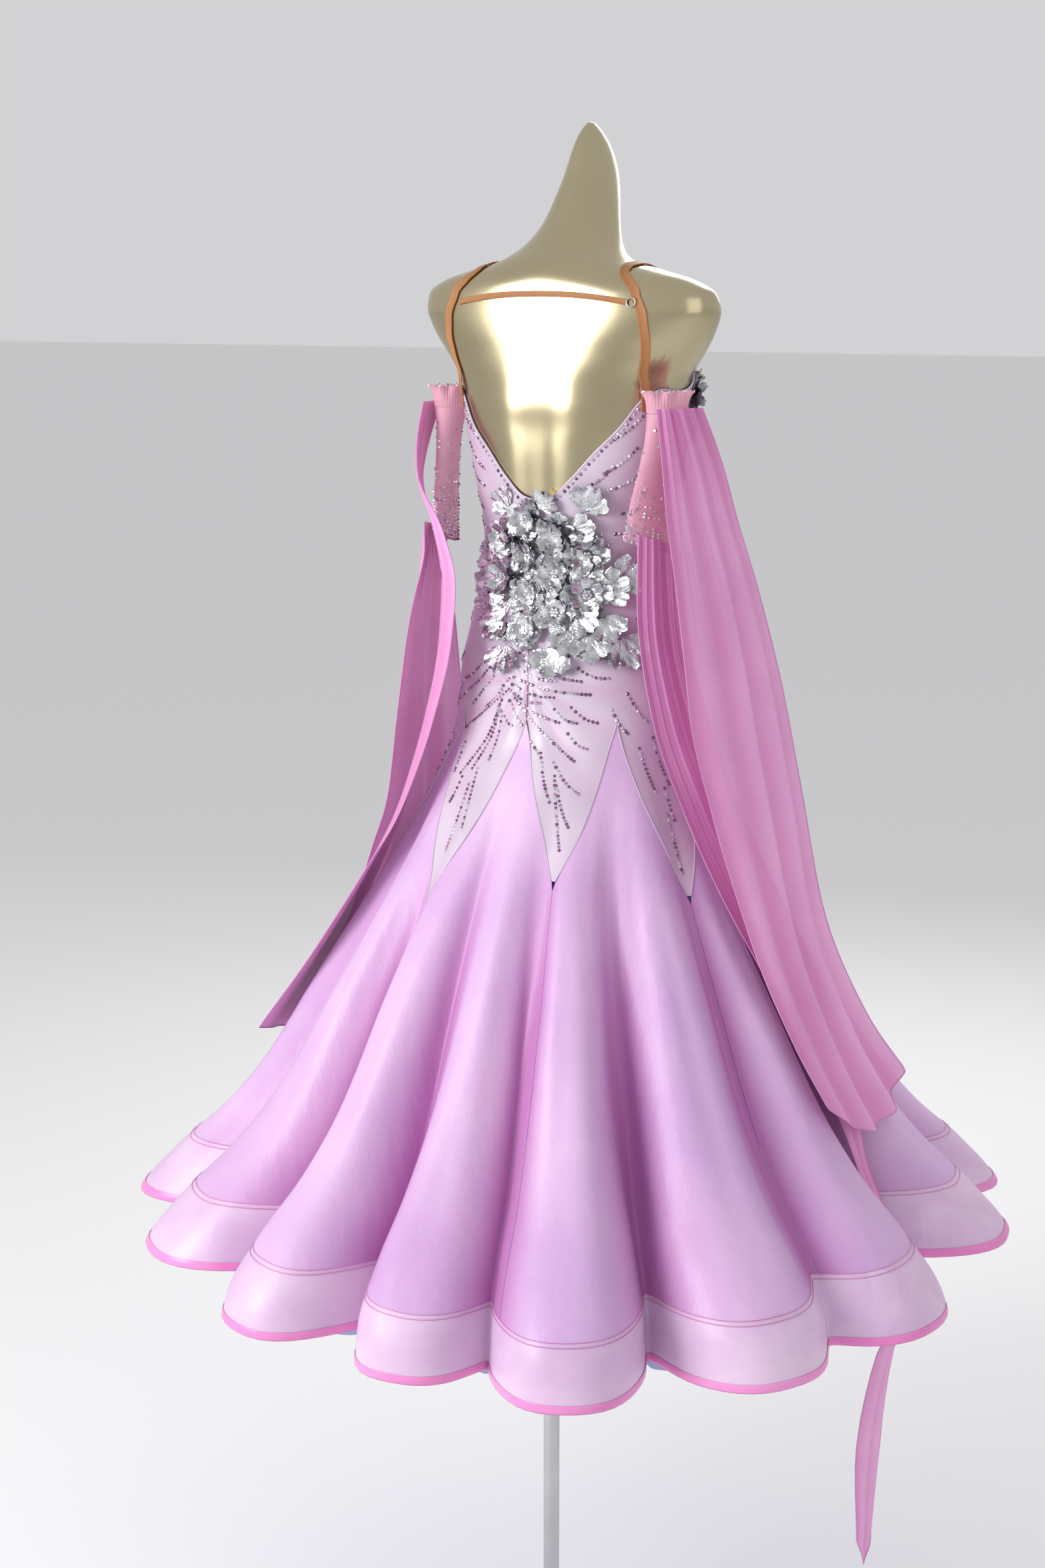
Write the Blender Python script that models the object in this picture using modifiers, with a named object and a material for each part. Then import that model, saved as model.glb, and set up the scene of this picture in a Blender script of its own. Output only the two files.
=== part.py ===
"""A ballroom dance dress worn by a limbless dress form on a round-based stand.

Metres, +Z up, origin at the centre of the stand's underside. The dress faces -Y, so its back is
towards +Y and the wearer's left is towards +X. Angles go round the body in degrees: 0 at the centre
front, 90 at the wearer's left side, 180 at the centre back and 270 at the wearer's right side.
The heights in the tables are measured from a level RAISED above the floor, which sets how far the
stand is pulled out.
"""

import bisect
import math

import bmesh
import bpy
import numpy as np
from mathutils import Matrix, Vector
from mathutils.bvhtree import BVHTree

# Driving dimensions
RAISED = 0.140           # the level that the tables' heights are measured from
BODY_Y = -0.050          # the body's middle lies this far in front of the pole
CLOTH = 0.0015           # wall of the stretch body fabric
CHIFFON = 0.0012         # wall of godets, floats and net
BODY_GAP = 0.0014        # the body fabric's inner face to the form
SEAM = 0.00040           # half the gap left at a seam
LAY = 0.0004             # gap between a piece and the one it lies on
REACH = 0.02             # how far a piece looks for what it is seated on
ANGLE_STEP = 9           # columns of the form and of the body fabric
GORES = 8
GORE_ANGLE = 360 / GORES
GODET_TOP = 1.128        # where the slits for the godets start
HEM = 0.425              # the hem's height at the back and front
HEM_RISE = 0.065         # how much higher the hem is at the sides of the view
HEM_BAND = 0.074         # horsehair band at the hem
VIEW_ANGLE = 210         # the hem rises to either side of this angle

BASE_RADIUS = 0.140
BASE_EDGE = 0.008
BASE_HEIGHT = 0.022
POLE_RADIUS = 0.0105

# The dress form: height, half width, half depth to the front and to the back, the ring's middle
# measured forward from the body's middle, and how square the ring is (2 is an ellipse)
FORM = (
    # height  width  front  back   forward square
    (1.060, 0.138, 0.092, 0.100, 0.000, 2.0),
    (1.085, 0.146, 0.097, 0.106, 0.000, 2.0),
    (1.115, 0.150, 0.100, 0.110, 0.000, 2.0),
    (1.150, 0.151, 0.100, 0.111, 0.000, 2.0),
    (1.185, 0.147, 0.098, 0.108, 0.000, 2.0),
    (1.220, 0.139, 0.095, 0.102, 0.000, 2.0),
    (1.255, 0.130, 0.091, 0.094, 0.000, 2.0),
    (1.290, 0.121, 0.087, 0.088, 0.000, 2.0),
    (1.330, 0.116, 0.085, 0.085, 0.000, 2.0),
    (1.370, 0.119, 0.090, 0.086, 0.000, 2.0),
    (1.410, 0.126, 0.098, 0.089, 0.000, 2.1),
    (1.450, 0.134, 0.105, 0.092, 0.000, 2.1),
    (1.485, 0.140, 0.109, 0.094, 0.000, 2.2),
    (1.515, 0.144, 0.109, 0.096, 0.000, 2.2),
    (1.545, 0.153, 0.104, 0.096, 0.000, 2.2),
    (1.570, 0.170, 0.094, 0.093, 0.000, 2.3),
    (1.600, 0.190, 0.080, 0.088, -0.003, 2.4),
    (1.626, 0.199, 0.070, 0.082, -0.006, 2.5),
    (1.645, 0.195, 0.063, 0.076, -0.010, 2.4),
    (1.660, 0.172, 0.057, 0.068, -0.016, 2.2),
    (1.672, 0.132, 0.053, 0.060, -0.020, 2.0),
    (1.684, 0.088, 0.050, 0.054, -0.018, 2.0),
    (1.700, 0.066, 0.048, 0.050, -0.004, 2.0),
    (1.724, 0.050, 0.049, 0.048, 0.014, 2.0),
    (1.760, 0.037, 0.052, 0.046, 0.030, 2.0),
    (1.795, 0.027, 0.047, 0.040, 0.040, 2.0),
    (1.822, 0.019, 0.034, 0.032, 0.042, 2.0),
    (1.840, 0.011, 0.019, 0.020, 0.041, 2.0),
    (1.850, 0.004, 0.007, 0.008, 0.040, 2.0),
)
SPINE_DEPTH = 0.006
SPINE_WIDTH = 9          # degrees
SPINE_LOW, SPINE_HIGH = 1.27, 1.56

# The garment below the hip: height, crest half width, half depth front and back, fold depth
FLARE = (
    # height  width  front  back   fold
    (1.110, 0.1545, 0.1070, 0.1180, 0.000),
    (1.060, 0.1720, 0.1320, 0.1420, 0.001),
    (1.000, 0.1990, 0.1680, 0.1750, 0.006),
    (0.930, 0.2360, 0.2200, 0.2240, 0.018),
    (0.800, 0.3130, 0.3070, 0.3080, 0.042),
    (0.670, 0.3920, 0.3880, 0.3890, 0.066),
    (0.600, 0.4500, 0.4480, 0.4480, 0.084),
    (0.540, 0.5150, 0.5150, 0.5150, 0.100),
    (0.480, 0.5640, 0.5600, 0.5620, 0.108),
    (0.420, 0.5760, 0.5700, 0.5740, 0.110),
)
FOLD_WIDEN = 0.100       # how far a fold's flanks turn in under its crest, as a share of its width
VALLEY_POWER = 1.25

# The skirt's folds at the hem: the crest's angle, its reach as a share of the table's, and how deep
# the valley after it is as a share of the table's
FOLDS = (
    # angle reach depth
    (7, 0.99, 0.90),
    (30, 1.00, 1.00),
    (52, 0.98, 0.95),
    (70, 1.00, 1.05),
    (96, 1.00, 0.95),
    (118, 1.01, 1.05),
    (142, 1.00, 1.10),
    (167, 0.99, 1.15),
    (187, 0.95, 0.90),
    (209, 0.99, 1.30),
    (235, 1.00, 0.60),
    (256, 1.02, 1.55),
    (285, 1.01, 1.00),
    (307, 1.01, 1.05),
    (327, 1.00, 0.95),
    (347, 0.98, 1.00),
)

# The body fabric's top edge: degrees from the centre back, and height
NECKLINE = (
    # away   height
    (0, 1.3950),
    (8, 1.4000),
    (20, 1.4240),
    (32, 1.4550),
    (46, 1.4880),
    (60, 1.5220),
    (72, 1.5310),
    (90, 1.5280),
    (108, 1.5350),
    (128, 1.5520),
    (150, 1.5600),
    (168, 1.5480),
    (180, 1.5400),
)
# Where each of the body fabric's points ends, from the one left of the centre front round
POINT_ENDS = (0.940, 0.920, 0.930, 0.895, 0.948, 0.925, 0.930, 0.945)
UPPER_ROWS = 11
UPPER_CROWD = 1.25       # crowds the upper rows towards the neckline
POINT_ROWS = 3
GODET_COLUMNS = 12
GODET_ROWS = (0.06, 0.27, 0.50, 0.74, 1.0)
GODET_START = 0.07       # share of a slit's length left open above a godet's tip
POINT_TIP = 0.03         # share of a gore's angle left at a point's end

PETTICOAT_TOP = 1.045
PETTICOAT_DROP = 0.016   # how far the net shows below the hem
PETTICOAT_COLUMNS = 48
PETTICOAT_INSET = 0.021  # how far inside the folds it hangs
PETTICOAT_FULL = 0.45    # how far it fills the folds

# The armband of each sleeve: angle round the body, the ring's half width along the body and its
# half depth away from it
BAND_HALF_WIDTH = 0.026
BAND_HALF_DEPTH = 0.019
BAND_LOW, BAND_HIGH = 1.504, 1.530
BAND_RUFFLE = 0.0035
BAND_RUFFLES = 6
BAND_COLUMNS = 24
SLEEVE_ANGLES = {"r": 247, "l": 98}

# The gauntlet of net under each armband: height, its middle's angle from the armband's, half width
# and half depth
GAUNTLET = (
    # height turn  width  depth
    (1.5035, 0, 0.0255, 0.0190),
    (1.4750, -2, 0.0240, 0.0135),
    (1.4350, -4, 0.0285, 0.0110),
    (1.3950, -6, 0.0345, 0.0100),
    (1.3550, -7, 0.0390, 0.0095),
)
GAUNTLET_SLANT = 0.022   # how much lower the front corner of the gauntlet's end is
GAUNTLET_COLUMNS = 14

# The floats: height, distance from the body's axis, and the angles of the two edges. Slant is how
# much lower each edge starts, and drop how much lower than the last row the free end hangs, across.
FLOATS = {
    "float_outer_r": {
        "rows": (
            # height distance angles
            (1.510, 0.1930, 241, 262),
            (1.405, 0.2050, 242, 277),
            (1.295, 0.2320, 242, 283),
            (1.160, 0.2620, 242, 287),
            (1.035, 0.2850, 246, 288),
            (0.876, 0.3190, 253, 286),
            (0.760, 0.3720, 256, 286),
            (0.690, 0.4200, 257, 288),
        ),
        "folds": 3.5, "depth": (0.003, 0.010), "columns": 16,
        "slant": (0.0, 0.0), "drop": (0.000, 0.035, 0.050, 0.040, 0.010),
    },
    "float_inner_r": {
        "rows": (
            (1.3620, 0.1860, 236, 256),
            (1.2600, 0.1930, 235, 257),
            (1.1400, 0.2130, 238, 262),
            (1.0300, 0.2400, 245, 269),
            (0.9300, 0.2730, 252, 276),
            (0.8500, 0.3100, 257, 279),
            (0.7600, 0.3550, 261, 279),
            (0.6700, 0.3900, 266, 275),
            (0.5900, 0.4140, 268.8, 272.4),
            (0.5000, 0.4560, 269.2, 272.0),
            (0.4300, 0.4740, 269.2, 272.0),
            (0.3700, 0.4560, 266.0, 272.5),
            (0.2500, 0.4400, 264.0, 272.5),
            (0.1300, 0.4350, 266.0, 270.5),
        ),
        "folds": 2.0, "depth": (0.002, 0.006), "columns": 8,
        "slant": (0.0, 0.022), "drop": (0.010, 0.050, 0.000),
    },
    "float_outer_l": {
        "rows": (
            (1.5100, 0.1975, 92, 106),
            (1.4300, 0.1985, 107, 127),
            (1.3600, 0.1790, 121, 143),
            (1.2900, 0.1680, 122, 148),
            (1.2200, 0.1720, 120, 147),
            (1.1200, 0.1900, 114, 142),
            (1.0000, 0.2260, 108, 134),
            (0.9300, 0.2620, 104, 128),
            (0.8000, 0.3400, 98, 122),
            (0.7000, 0.4080, 94, 116),
        ),
        "folds": 1.5, "depth": (0.002, 0.006), "columns": 8,
        "slant": (0.0, 0.0), "drop": (0.040, 0.020, 0.000),
    },
    "float_inner_l": {
        "rows": (
            (1.3620, 0.1960, 93, 113),
            (1.3000, 0.2040, 88, 112),
            (1.2400, 0.2180, 80, 110),
            (1.1200, 0.2380, 72, 106),
            (1.0000, 0.2560, 66, 103),
            (0.9300, 0.2820, 62, 100),
            (0.8000, 0.3450, 58, 94),
            (0.6900, 0.4350, 54, 89),
        ),
        "folds": 3.5, "depth": (0.003, 0.010), "columns": 15,
        "slant": (0.022, 0.0), "drop": (0.030, 0.030, 0.020, 0.000),
    },
}

STRAP_WIDTH = 0.012
BACK_STRAP_WIDTH = 0.007
STRAP_WALL = 0.0014
STRAP_LIFT = 0.0009
# The right shoulder strap's route on the form: angle, height and whether it lies on the body fabric,
# from the back over to the front
STRAP_ROUTE = (
    # angle height on fabric
    (241.0, 1.5060, 1.0),
    (239.0, 1.5280, 1.0),
    (233.0, 1.5560, 0.0),
    (226.0, 1.5850, 0.0),
    (219.0, 1.6160, 0.0),
    (216.0, 1.6400, 0.0),
    (218.5, 1.6580, 0.0),
    (228.0, 1.6700, 0.0),
    (247.0, 1.6775, 0.0),
    (270.0, 1.6795, 0.0),
    (293.0, 1.6770, 0.0),
    (312.0, 1.6680, 0.0),
    (322.0, 1.6500, 0.0),
    (326.0, 1.6200, 0.0),
    (327.0, 1.5920, 0.0),
    (326.0, 1.5600, 1.0),
    (325.5, 1.5400, 1.0),
)
BACK_STRAP_HEIGHT = 1.634
BACK_STRAP_ENDS = (148.2, 211.8)
BACK_STRAP_ARCH = 0.010

# Metallic flowers on the back and on the front left of the neckline: angle, height, size, petals
FLOWERS = (
    # angle  height size   petals
    (173.0, 1.372, 0.0190, 5),
    (155.0, 1.348, 0.0185, 5),
    (193.0, 1.356, 0.0190, 5),
    (212.0, 1.330, 0.0200, 6),
    (174.5, 1.326, 0.0180, 5),
    (157.0, 1.298, 0.0215, 6),
    (192.5, 1.308, 0.0195, 5),
    (211.5, 1.282, 0.0225, 6),
    (175.5, 1.280, 0.0190, 5),
    (193.0, 1.260, 0.0195, 5),
    (177.0, 1.236, 0.0180, 5),
    (303.0, 1.523, 0.0230, 6),
    (315.0, 1.484, 0.0215, 6),
)
FLOWER_RINGS = (
    # share of size, height as a share of size, petal depth
    (0.20, 0.50, 0.00),
    (0.42, 0.16, 0.04),
    (1.00, 0.42, 0.16),
)
FLOWER_WALL = 0.0013
FLOWER_COLUMNS = 2       # for each petal
FLOWER_LIFT = 0.0040

# Loose petals at the edge of the spray: angle, height, size, and the way the petal points
PETALS = (
    # angle  height size   points
    (208.0, 1.384, 0.026, 60),
    (146.0, 1.322, 0.022, 200),
    (158.0, 1.256, 0.026, 250),
    (166.0, 1.218, 0.026, 265),
    (194.0, 1.220, 0.028, 260),
    (212.0, 1.238, 0.028, 275),
    (228.0, 1.232, 0.030, 300),
    (229.0, 1.300, 0.026, 20),
    (311.0, 1.446, 0.024, 270),
)
PETAL_SPREAD = 120       # degrees
PETAL_COLUMNS = 5
PETAL_ROWS = 2
PETAL_CUP = 0.30

GOLD = (0.42, 0.36, 0.22)
STEEL = (0.55, 0.55, 0.55)
BODY_PINK = (0.80, 0.62, 0.78)
GODET_LILAC = (0.78, 0.56, 0.80)
FLOAT_PINK = (0.86, 0.45, 0.72)
NET_LILAC = (0.60, 0.58, 0.85)
NET_PINK = (0.85, 0.55, 0.58)
STRAP_TAN = (0.62, 0.27, 0.11)
SILVER = (0.75, 0.76, 0.77)


def blend(rows, at, column):
    """A smooth value from a table whose first column rises or falls, by a cubic that doesn't overshoot."""
    keys = [row[0] for row in rows]
    values = [row[column] for row in rows]
    if keys[0] > keys[-1]:
        keys.reverse()
        values.reverse()
    if at <= keys[0]:
        return values[0]
    if at >= keys[-1]:
        return values[-1]
    i = bisect.bisect_right(keys, at) - 1
    step = keys[i + 1] - keys[i]
    slope = (values[i + 1] - values[i]) / step

    def end_slope(j):
        if j == 0 or j == len(keys) - 1:
            return slope
        before = (values[j] - values[j - 1]) / (keys[j] - keys[j - 1])
        after = (values[j + 1] - values[j]) / (keys[j + 1] - keys[j])
        if before * after <= 0:
            return 0.0
        return 2 * before * after / (before + after)

    t = (at - keys[i]) / step
    left, right = end_slope(i) * step, end_slope(i + 1) * step
    return (
        values[i] * (2 * t**3 - 3 * t**2 + 1)
        + left * (t**3 - 2 * t**2 + t)
        + values[i + 1] * (3 * t**2 - 2 * t**3)
        + right * (t**3 - t**2)
    )


def oval(angle, width, front, back, square):
    """The point at an angle of a ring with different half depths to the front and to the back."""
    a = math.radians(angle)
    s, c = math.sin(a), math.cos(a)
    x = width * math.copysign(abs(s) ** (2 / square), s)
    y = (front if c > 0 else back) * math.copysign(abs(c) ** (2 / square), c)
    return x, -y


def form_point(angle, height, out=0.0):
    """The smooth form's surface, moved out level by a distance. The form's own spine is not in it."""
    width, front, back, forward, square = (blend(FORM, height, c) for c in range(1, 6))
    x, y = oval(angle, width + out, front + out, back + out, square)
    return np.array((x, BODY_Y - forward + y, height))


def between(angle, low, high):
    return (angle - low) / (high - low)


def fold_at(angle):
    """The fold that holds an angle: its share from one crest to the next, spacing, reach and depth.

    The last value is a depth that runs smoothly over the crests, for what hangs under the folds.
    """
    angle = angle % 360
    crests = [(row[0] - 360, *row[1:]) for row in FOLDS[-2:]] + list(FOLDS)
    crests += [(row[0] + 360, *row[1:]) for row in FOLDS[:2]]
    i = max(k for k in range(1, len(crests) - 2) if crests[k][0] <= angle)
    left, right = crests[i], crests[i + 1]
    share = between(angle, left[0], right[0])
    smooth = share * share * (3 - 2 * share)
    reach = left[1] + (right[1] - left[1]) * smooth
    before, after = max(crests[i - 1][2], left[2]), max(left[2], right[2])
    return share, right[0] - left[0], reach, left[2], before + (after - before) * smooth


def skirt_point(angle, height, inside=0.0):
    """The garment's inner face: on the form above the hip, and folded out to the hem below it.

    Inside is 0 for the dress itself and 1 for the net under it, which fills the folds less.
    """
    if height >= FORM[3][0]:
        return form_point(angle, height, BODY_GAP)
    worn = [blend(FORM, FORM[3][0], c) + BODY_GAP for c in (1, 2, 3)]
    rows = ((FORM[3][0], *worn, 0.0), *FLARE)
    width, front, back, fold = (blend(rows, height, c) for c in range(1, 5))
    share, spacing, reach, depth, under = fold_at(angle)
    turn = 2 * math.pi * share
    part = min(1.0, fold / FLARE[-1][4])
    hollow = ((1 - math.cos(turn)) / 2) ** VALLEY_POWER
    free = min(1.0, max(0.0, (PETTICOAT_TOP - height) / 0.10))
    sunk = fold * (depth * hollow + inside * (1 - PETTICOAT_FULL) * (1 - hollow) * under)
    sunk += inside * (CHIFFON + 2 * LAY + PETTICOAT_INSET * free)
    grow = 1 + (reach - 1) * part
    moved = angle + FOLD_WIDEN * spacing * math.sin(turn) * part
    x, y = oval(moved, width * grow - sunk, front * grow - sunk, back * grow - sunk, 2.0)
    return np.array((x, BODY_Y + y, height))


def normal_of(surface, u, v, du, dv):
    """The way out of a surface that runs round with u and down with v, from its slopes."""
    along = surface(u + du, v) - surface(u - du, v)
    down = surface(u, v - dv) - surface(u, v + dv)
    n = np.cross(down, along)
    return n / np.linalg.norm(n)


def out_of_skirt(angle, height):
    return normal_of(skirt_point, angle, height, 0.15, 0.0008)


def out_of_form(angle, height):
    return normal_of(form_point, angle, height, 0.5, 0.001)


def body_outside(angle, height, lift=0.0):
    """A point on the outer face of the body fabric, and the way out of it."""
    n = out_of_skirt(angle, height)
    return skirt_point(angle, height) + n * (CLOTH + lift), n


def new_object(name, mesh, colour, metallic=0.0, roughness=0.6, smooth=True, raised=RAISED):
    """An object in the dress's collection with a material of its own, raised to its place."""
    mesh.transform(Matrix.Translation((0, 0, raised)))
    material = bpy.data.materials.new(name)
    material.use_nodes = True
    shader = material.node_tree.nodes["Principled BSDF"]
    shader.inputs["Base Color"].default_value = (*colour, 1)
    shader.inputs["Metallic"].default_value = metallic
    shader.inputs["Roughness"].default_value = roughness
    mesh.materials.append(material)
    if smooth:
        mesh.shade_smooth()
        mesh.set_sharp_from_angle(angle=math.radians(50))
    made = bpy.data.objects.new(name, mesh)
    dress.objects.link(made)
    return made


def mesh_of(name, points, faces):
    mesh = bpy.data.meshes.new(name)
    mesh.from_pydata([tuple(p) for p in points], [], faces)
    mesh.validate()
    return mesh


def split(corners, points):
    """A face's triangles, cut along its shorter diagonal, so that both sides of a wall are cut alike."""
    face = [i for k, i in enumerate(corners) if i != corners[k - 1]]
    if len(face) < 4:
        return [face]
    a, b, c, d = face
    if np.linalg.norm(points[a] - points[c]) <= np.linalg.norm(points[b] - points[d]):
        return [[a, b, c], [a, c, d]]
    return [[a, b, d], [b, c, d]]


def wall(name, patches, thickness, colour, **finish):
    """A closed wall on one or more patches. A patch is a grid of (inner point, way out) pairs.

    Patches that share points are welded, and the wall's edges run along what is left open.
    """
    points, outs, faces, index = [], [], [], {}
    for patch in patches:
        rows = []
        for row in patch:
            ids = []
            for point, out in row:
                key = tuple(np.round(point, 6))
                if key not in index:
                    index[key] = len(points)
                    points.append(np.asarray(point, float))
                    outs.append(np.asarray(out, float))
                ids.append(index[key])
            rows.append(ids)
        for upper, lower in zip(rows, rows[1:]):
            for j in range(len(upper) - 1):
                faces += split([upper[j], lower[j], lower[j + 1], upper[j + 1]], points)
    count = len(points)
    outer = [p + o * thickness for p, o in zip(points, outs)]
    edges = {}
    for face in faces:
        for a, b in zip(face, face[1:] + face[:1]):
            edges[(a, b)] = edges.get((a, b), 0) + 1
    closed = [[a, a + count, b + count, b] for a, b in edges if (b, a) not in edges]
    closed += [[i + count for i in face] for face in faces]
    closed += [face[::-1] for face in faces]
    mesh = mesh_of(name, points + outer, closed)
    shape = bmesh.new()
    shape.from_mesh(mesh)
    bmesh.ops.recalc_face_normals(shape, faces=shape.faces)
    if shape.calc_volume(signed=True) < 0:
        bmesh.ops.reverse_faces(shape, faces=shape.faces)
    shape.to_mesh(mesh)
    shape.free()
    return new_object(name, mesh, colour, **finish)


def tree_of(piece):
    mesh = piece.data
    return BVHTree.FromPolygons([v.co for v in mesh.vertices], [p.vertices for p in mesh.polygons])


def samples_of(piece):
    """A mesh's corners and four more places along each edge."""
    mesh = piece.data
    places = [v.co.copy() for v in mesh.vertices]
    for edge in mesh.edges:
        a, b = (mesh.vertices[i].co for i in edge.vertices)
        places += [a.lerp(b, k / 5) for k in range(1, 5)]
    return places


def seat(piece, on, way, also=()):
    """Moves a piece, and what is sewn to it, along a way until it is a small gap clear of others."""
    way = Vector(way).normalized()
    own = tree_of(piece)
    near = []
    for other in on:
        tree = tree_of(other)
        near += [tree.ray_cast(place, way, REACH)[3] for place in samples_of(piece)]
        near += [own.ray_cast(place, -way, REACH)[3] for place in samples_of(other)]
    least = min(distance for distance in near if distance is not None)
    for each in (piece, *also):
        each.data.transform(Matrix.Translation(way * (least - LAY)))
    return piece


def seam_angle(angle, height):
    """The angle that half a seam's gap takes up at a place on the garment."""
    radius = np.linalg.norm(skirt_point(angle, height)[:2] - (0, BODY_Y))
    return math.degrees(SEAM / radius)


def slit_half_angle(share):
    """Half the angle of the slit that a godet fills, by the share of the way down to the point's end."""
    return GORE_ANGLE / 2 * share * (1 - POINT_TIP)


def point_end(gore):
    """The height at which the body fabric's point in a gore ends. A gore lies between two godets."""
    return POINT_ENDS[gore % GORES]


def neckline(angle):
    return blend(NECKLINE, abs((angle % 360) - 180), 1)


def body_panel(name, first_gore, gores):
    """Body fabric over some gores: one wide piece down to the slits, then a long point in each gore."""
    start = first_gore * GORE_ANGLE
    end = start + gores * GORE_ANGLE
    columns = round((end - start) / ANGLE_STEP)
    patches = []

    def placed(angle, height, low=start, high=end):
        gap = seam_angle(angle, height)
        angle = min(max(angle, low + gap), high - gap)
        return skirt_point(angle, height), out_of_skirt(angle, height)

    upper = []
    for i in range(UPPER_ROWS + 1):
        row = []
        for j in range(columns + 1):
            angle = start + j * ANGLE_STEP
            top = neckline(angle)
            down = (i / UPPER_ROWS) ** UPPER_CROWD
            row.append(placed(angle, top + (GODET_TOP - top) * down))
        upper.append(row)
    patches.append(upper)
    per_gore = round(GORE_ANGLE / ANGLE_STEP)
    for gore in range(first_gore, first_gore + gores):
        middle = (gore + 0.5) * GORE_ANGLE
        drop = GODET_TOP - point_end(gore)
        patch = []
        for i in range(POINT_ROWS + 1):
            share = i / POINT_ROWS
            height = GODET_TOP - drop * share
            half = GORE_ANGLE / 2 - slit_half_angle(share)
            inset = seam_angle(middle, height) if i else 0
            patch.append([
                placed(middle + (half - inset) * (2 * j / per_gore - 1), height)
                for j in range(per_gore + 1)
            ])
        patches.append(patch)
    return wall(name, patches, CLOTH, BODY_PINK, roughness=0.45)


def hem_height(angle):
    side = (1 - math.cos(2 * math.radians(angle - VIEW_ANGLE))) / 2
    return HEM + HEM_RISE * side


def band_top(angle):
    return hem_height(angle) + HEM_BAND


def godet(number):
    """A flared panel from its tip in a slit of the body fabric down to the hem band."""
    middle = number * GORE_ANGLE
    ends = [point_end(number - 1), point_end(number)]
    sides = [middle - GORE_ANGLE / 2, middle + GORE_ANGLE / 2]

    def placed(across, half, left_height, right_height):
        height = left_height + (right_height - left_height) * (across + 1) / 2
        angle = middle + across * (half - seam_angle(middle, height))
        return skirt_point(angle, height), out_of_skirt(angle, height)

    spread = [2 * j / GODET_COLUMNS - 1 for j in range(GODET_COLUMNS + 1)]
    patch = []
    for i in range(POINT_ROWS + 1):
        share = max(i / POINT_ROWS, GODET_START)
        heights = [GODET_TOP - (GODET_TOP - end) * share for end in ends]
        patch.append([placed(a, slit_half_angle(share), *heights) for a in spread])
    for share in GODET_ROWS:
        widen = GORE_ANGLE / 2
        tops = [band_top(side) + SEAM for side in sides]
        heights = [end + (top - end) * share for end, top in zip(ends, tops)]
        row = []
        for a in spread:
            height = heights[0] + (heights[1] - heights[0]) * (a + 1) / 2
            angle = middle + a * (widen - seam_angle(middle, height))
            straight = tops[0] + (tops[1] - tops[0]) * (a + 1) / 2
            height += (band_top(angle) + SEAM - straight) * share
            row.append((skirt_point(angle, height), out_of_skirt(angle, height)))
        patch.append(row)
    return wall(f"godet_{number + 1}", [patch], CHIFFON, GODET_LILAC, roughness=0.55)


def hem_band():
    """The stiff horsehair band that the godets end in, all the way round."""
    columns = GODET_COLUMNS * GORES
    rows = []
    for share in (0, 1):
        row = []
        for j in range(columns + 1):
            angle = (j % columns) * 360 / columns
            height = band_top(angle) - SEAM - (HEM_BAND - SEAM) * share
            row.append((skirt_point(angle, height), out_of_skirt(angle, height)))
        rows.append(row)
    return wall("hem_band", [rows], CHIFFON * 1.4, GODET_LILAC, roughness=0.5)


def petticoat():
    """The net underskirt, from under the godets' tips to just below the hem."""

    def surface(angle, height):
        return skirt_point(angle, height, inside=1.0)

    rows = []
    for share in (0, 0.1, 0.25, 0.48, 0.66, 0.83, 1):
        row = []
        for j in range(PETTICOAT_COLUMNS + 1):
            angle = (j % PETTICOAT_COLUMNS) * 360 / PETTICOAT_COLUMNS
            low = hem_height(angle) - PETTICOAT_DROP
            height = PETTICOAT_TOP + (low - PETTICOAT_TOP) * share
            row.append((surface(angle, height), normal_of(surface, angle, height, 0.15, 0.0008)))
        rows.append(row)
    return wall("petticoat", [rows], CHIFFON, NET_LILAC, roughness=0.8)


def sleeve_frame(side):
    """The armband ring's middle, and the ways away from the body and along it."""
    angle = SLEEVE_ANGLES[side]
    turn = math.radians(angle)
    away = np.array((math.sin(turn), -math.cos(turn), 0))
    along = np.array((math.cos(turn), math.sin(turn), 0))
    axis = np.array((0, BODY_Y, 0))
    worn = [
        body_outside(angle + swing, height)[0] - axis
        for swing in (-9, -6, -3, 0, 3, 6, 9) for height in (BAND_LOW, BAND_HIGH)
    ]
    reach = max(float(np.dot(point, away)) for point in worn)
    on_axis = np.dot(body_outside(angle, BAND_LOW)[0] - axis, along)
    clear = BAND_HALF_DEPTH + BAND_RUFFLE + CHIFFON + LAY
    return axis + away * (reach + clear) + along * on_axis, away, along


def armband(side):
    """A ruffled elastic ring at the top of the sleeve, open for the arm."""
    middle, away, along = sleeve_frame(side)
    rows = []
    for share in (0, 0.5, 1):
        row = []
        height = BAND_HIGH + (BAND_LOW - BAND_HIGH) * share
        flare = BAND_RUFFLE * (1 - share) ** 2
        for j in range(BAND_COLUMNS + 1):
            a = 2 * math.pi * (j % BAND_COLUMNS) / BAND_COLUMNS
            ruffle = flare * math.cos(BAND_RUFFLES * a)
            out = along * math.cos(a) + away * math.sin(a)
            place = along * math.cos(a) * (BAND_HALF_WIDTH + ruffle)
            place = place + away * math.sin(a) * (BAND_HALF_DEPTH + ruffle)
            row.append((middle + place + np.array((0, 0, height)), out))
        rows.append(row)
    return wall("armband_" + side, [rows], CHIFFON, NET_PINK, roughness=0.6)


def gauntlet_middle(side, turn):
    """The gauntlet's middle, swung round the body from the armband's by some degrees."""
    sign = 1 if side == "r" else -1
    middle, away, along = sleeve_frame(side)
    swing = Matrix.Rotation(math.radians(turn * sign), 3, "Z")
    pivot = Vector((0, BODY_Y, 0))
    moved = swing @ (Vector(middle) - pivot) + pivot
    return np.array(moved), np.array(swing @ Vector(away)), np.array(swing @ Vector(along))


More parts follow.
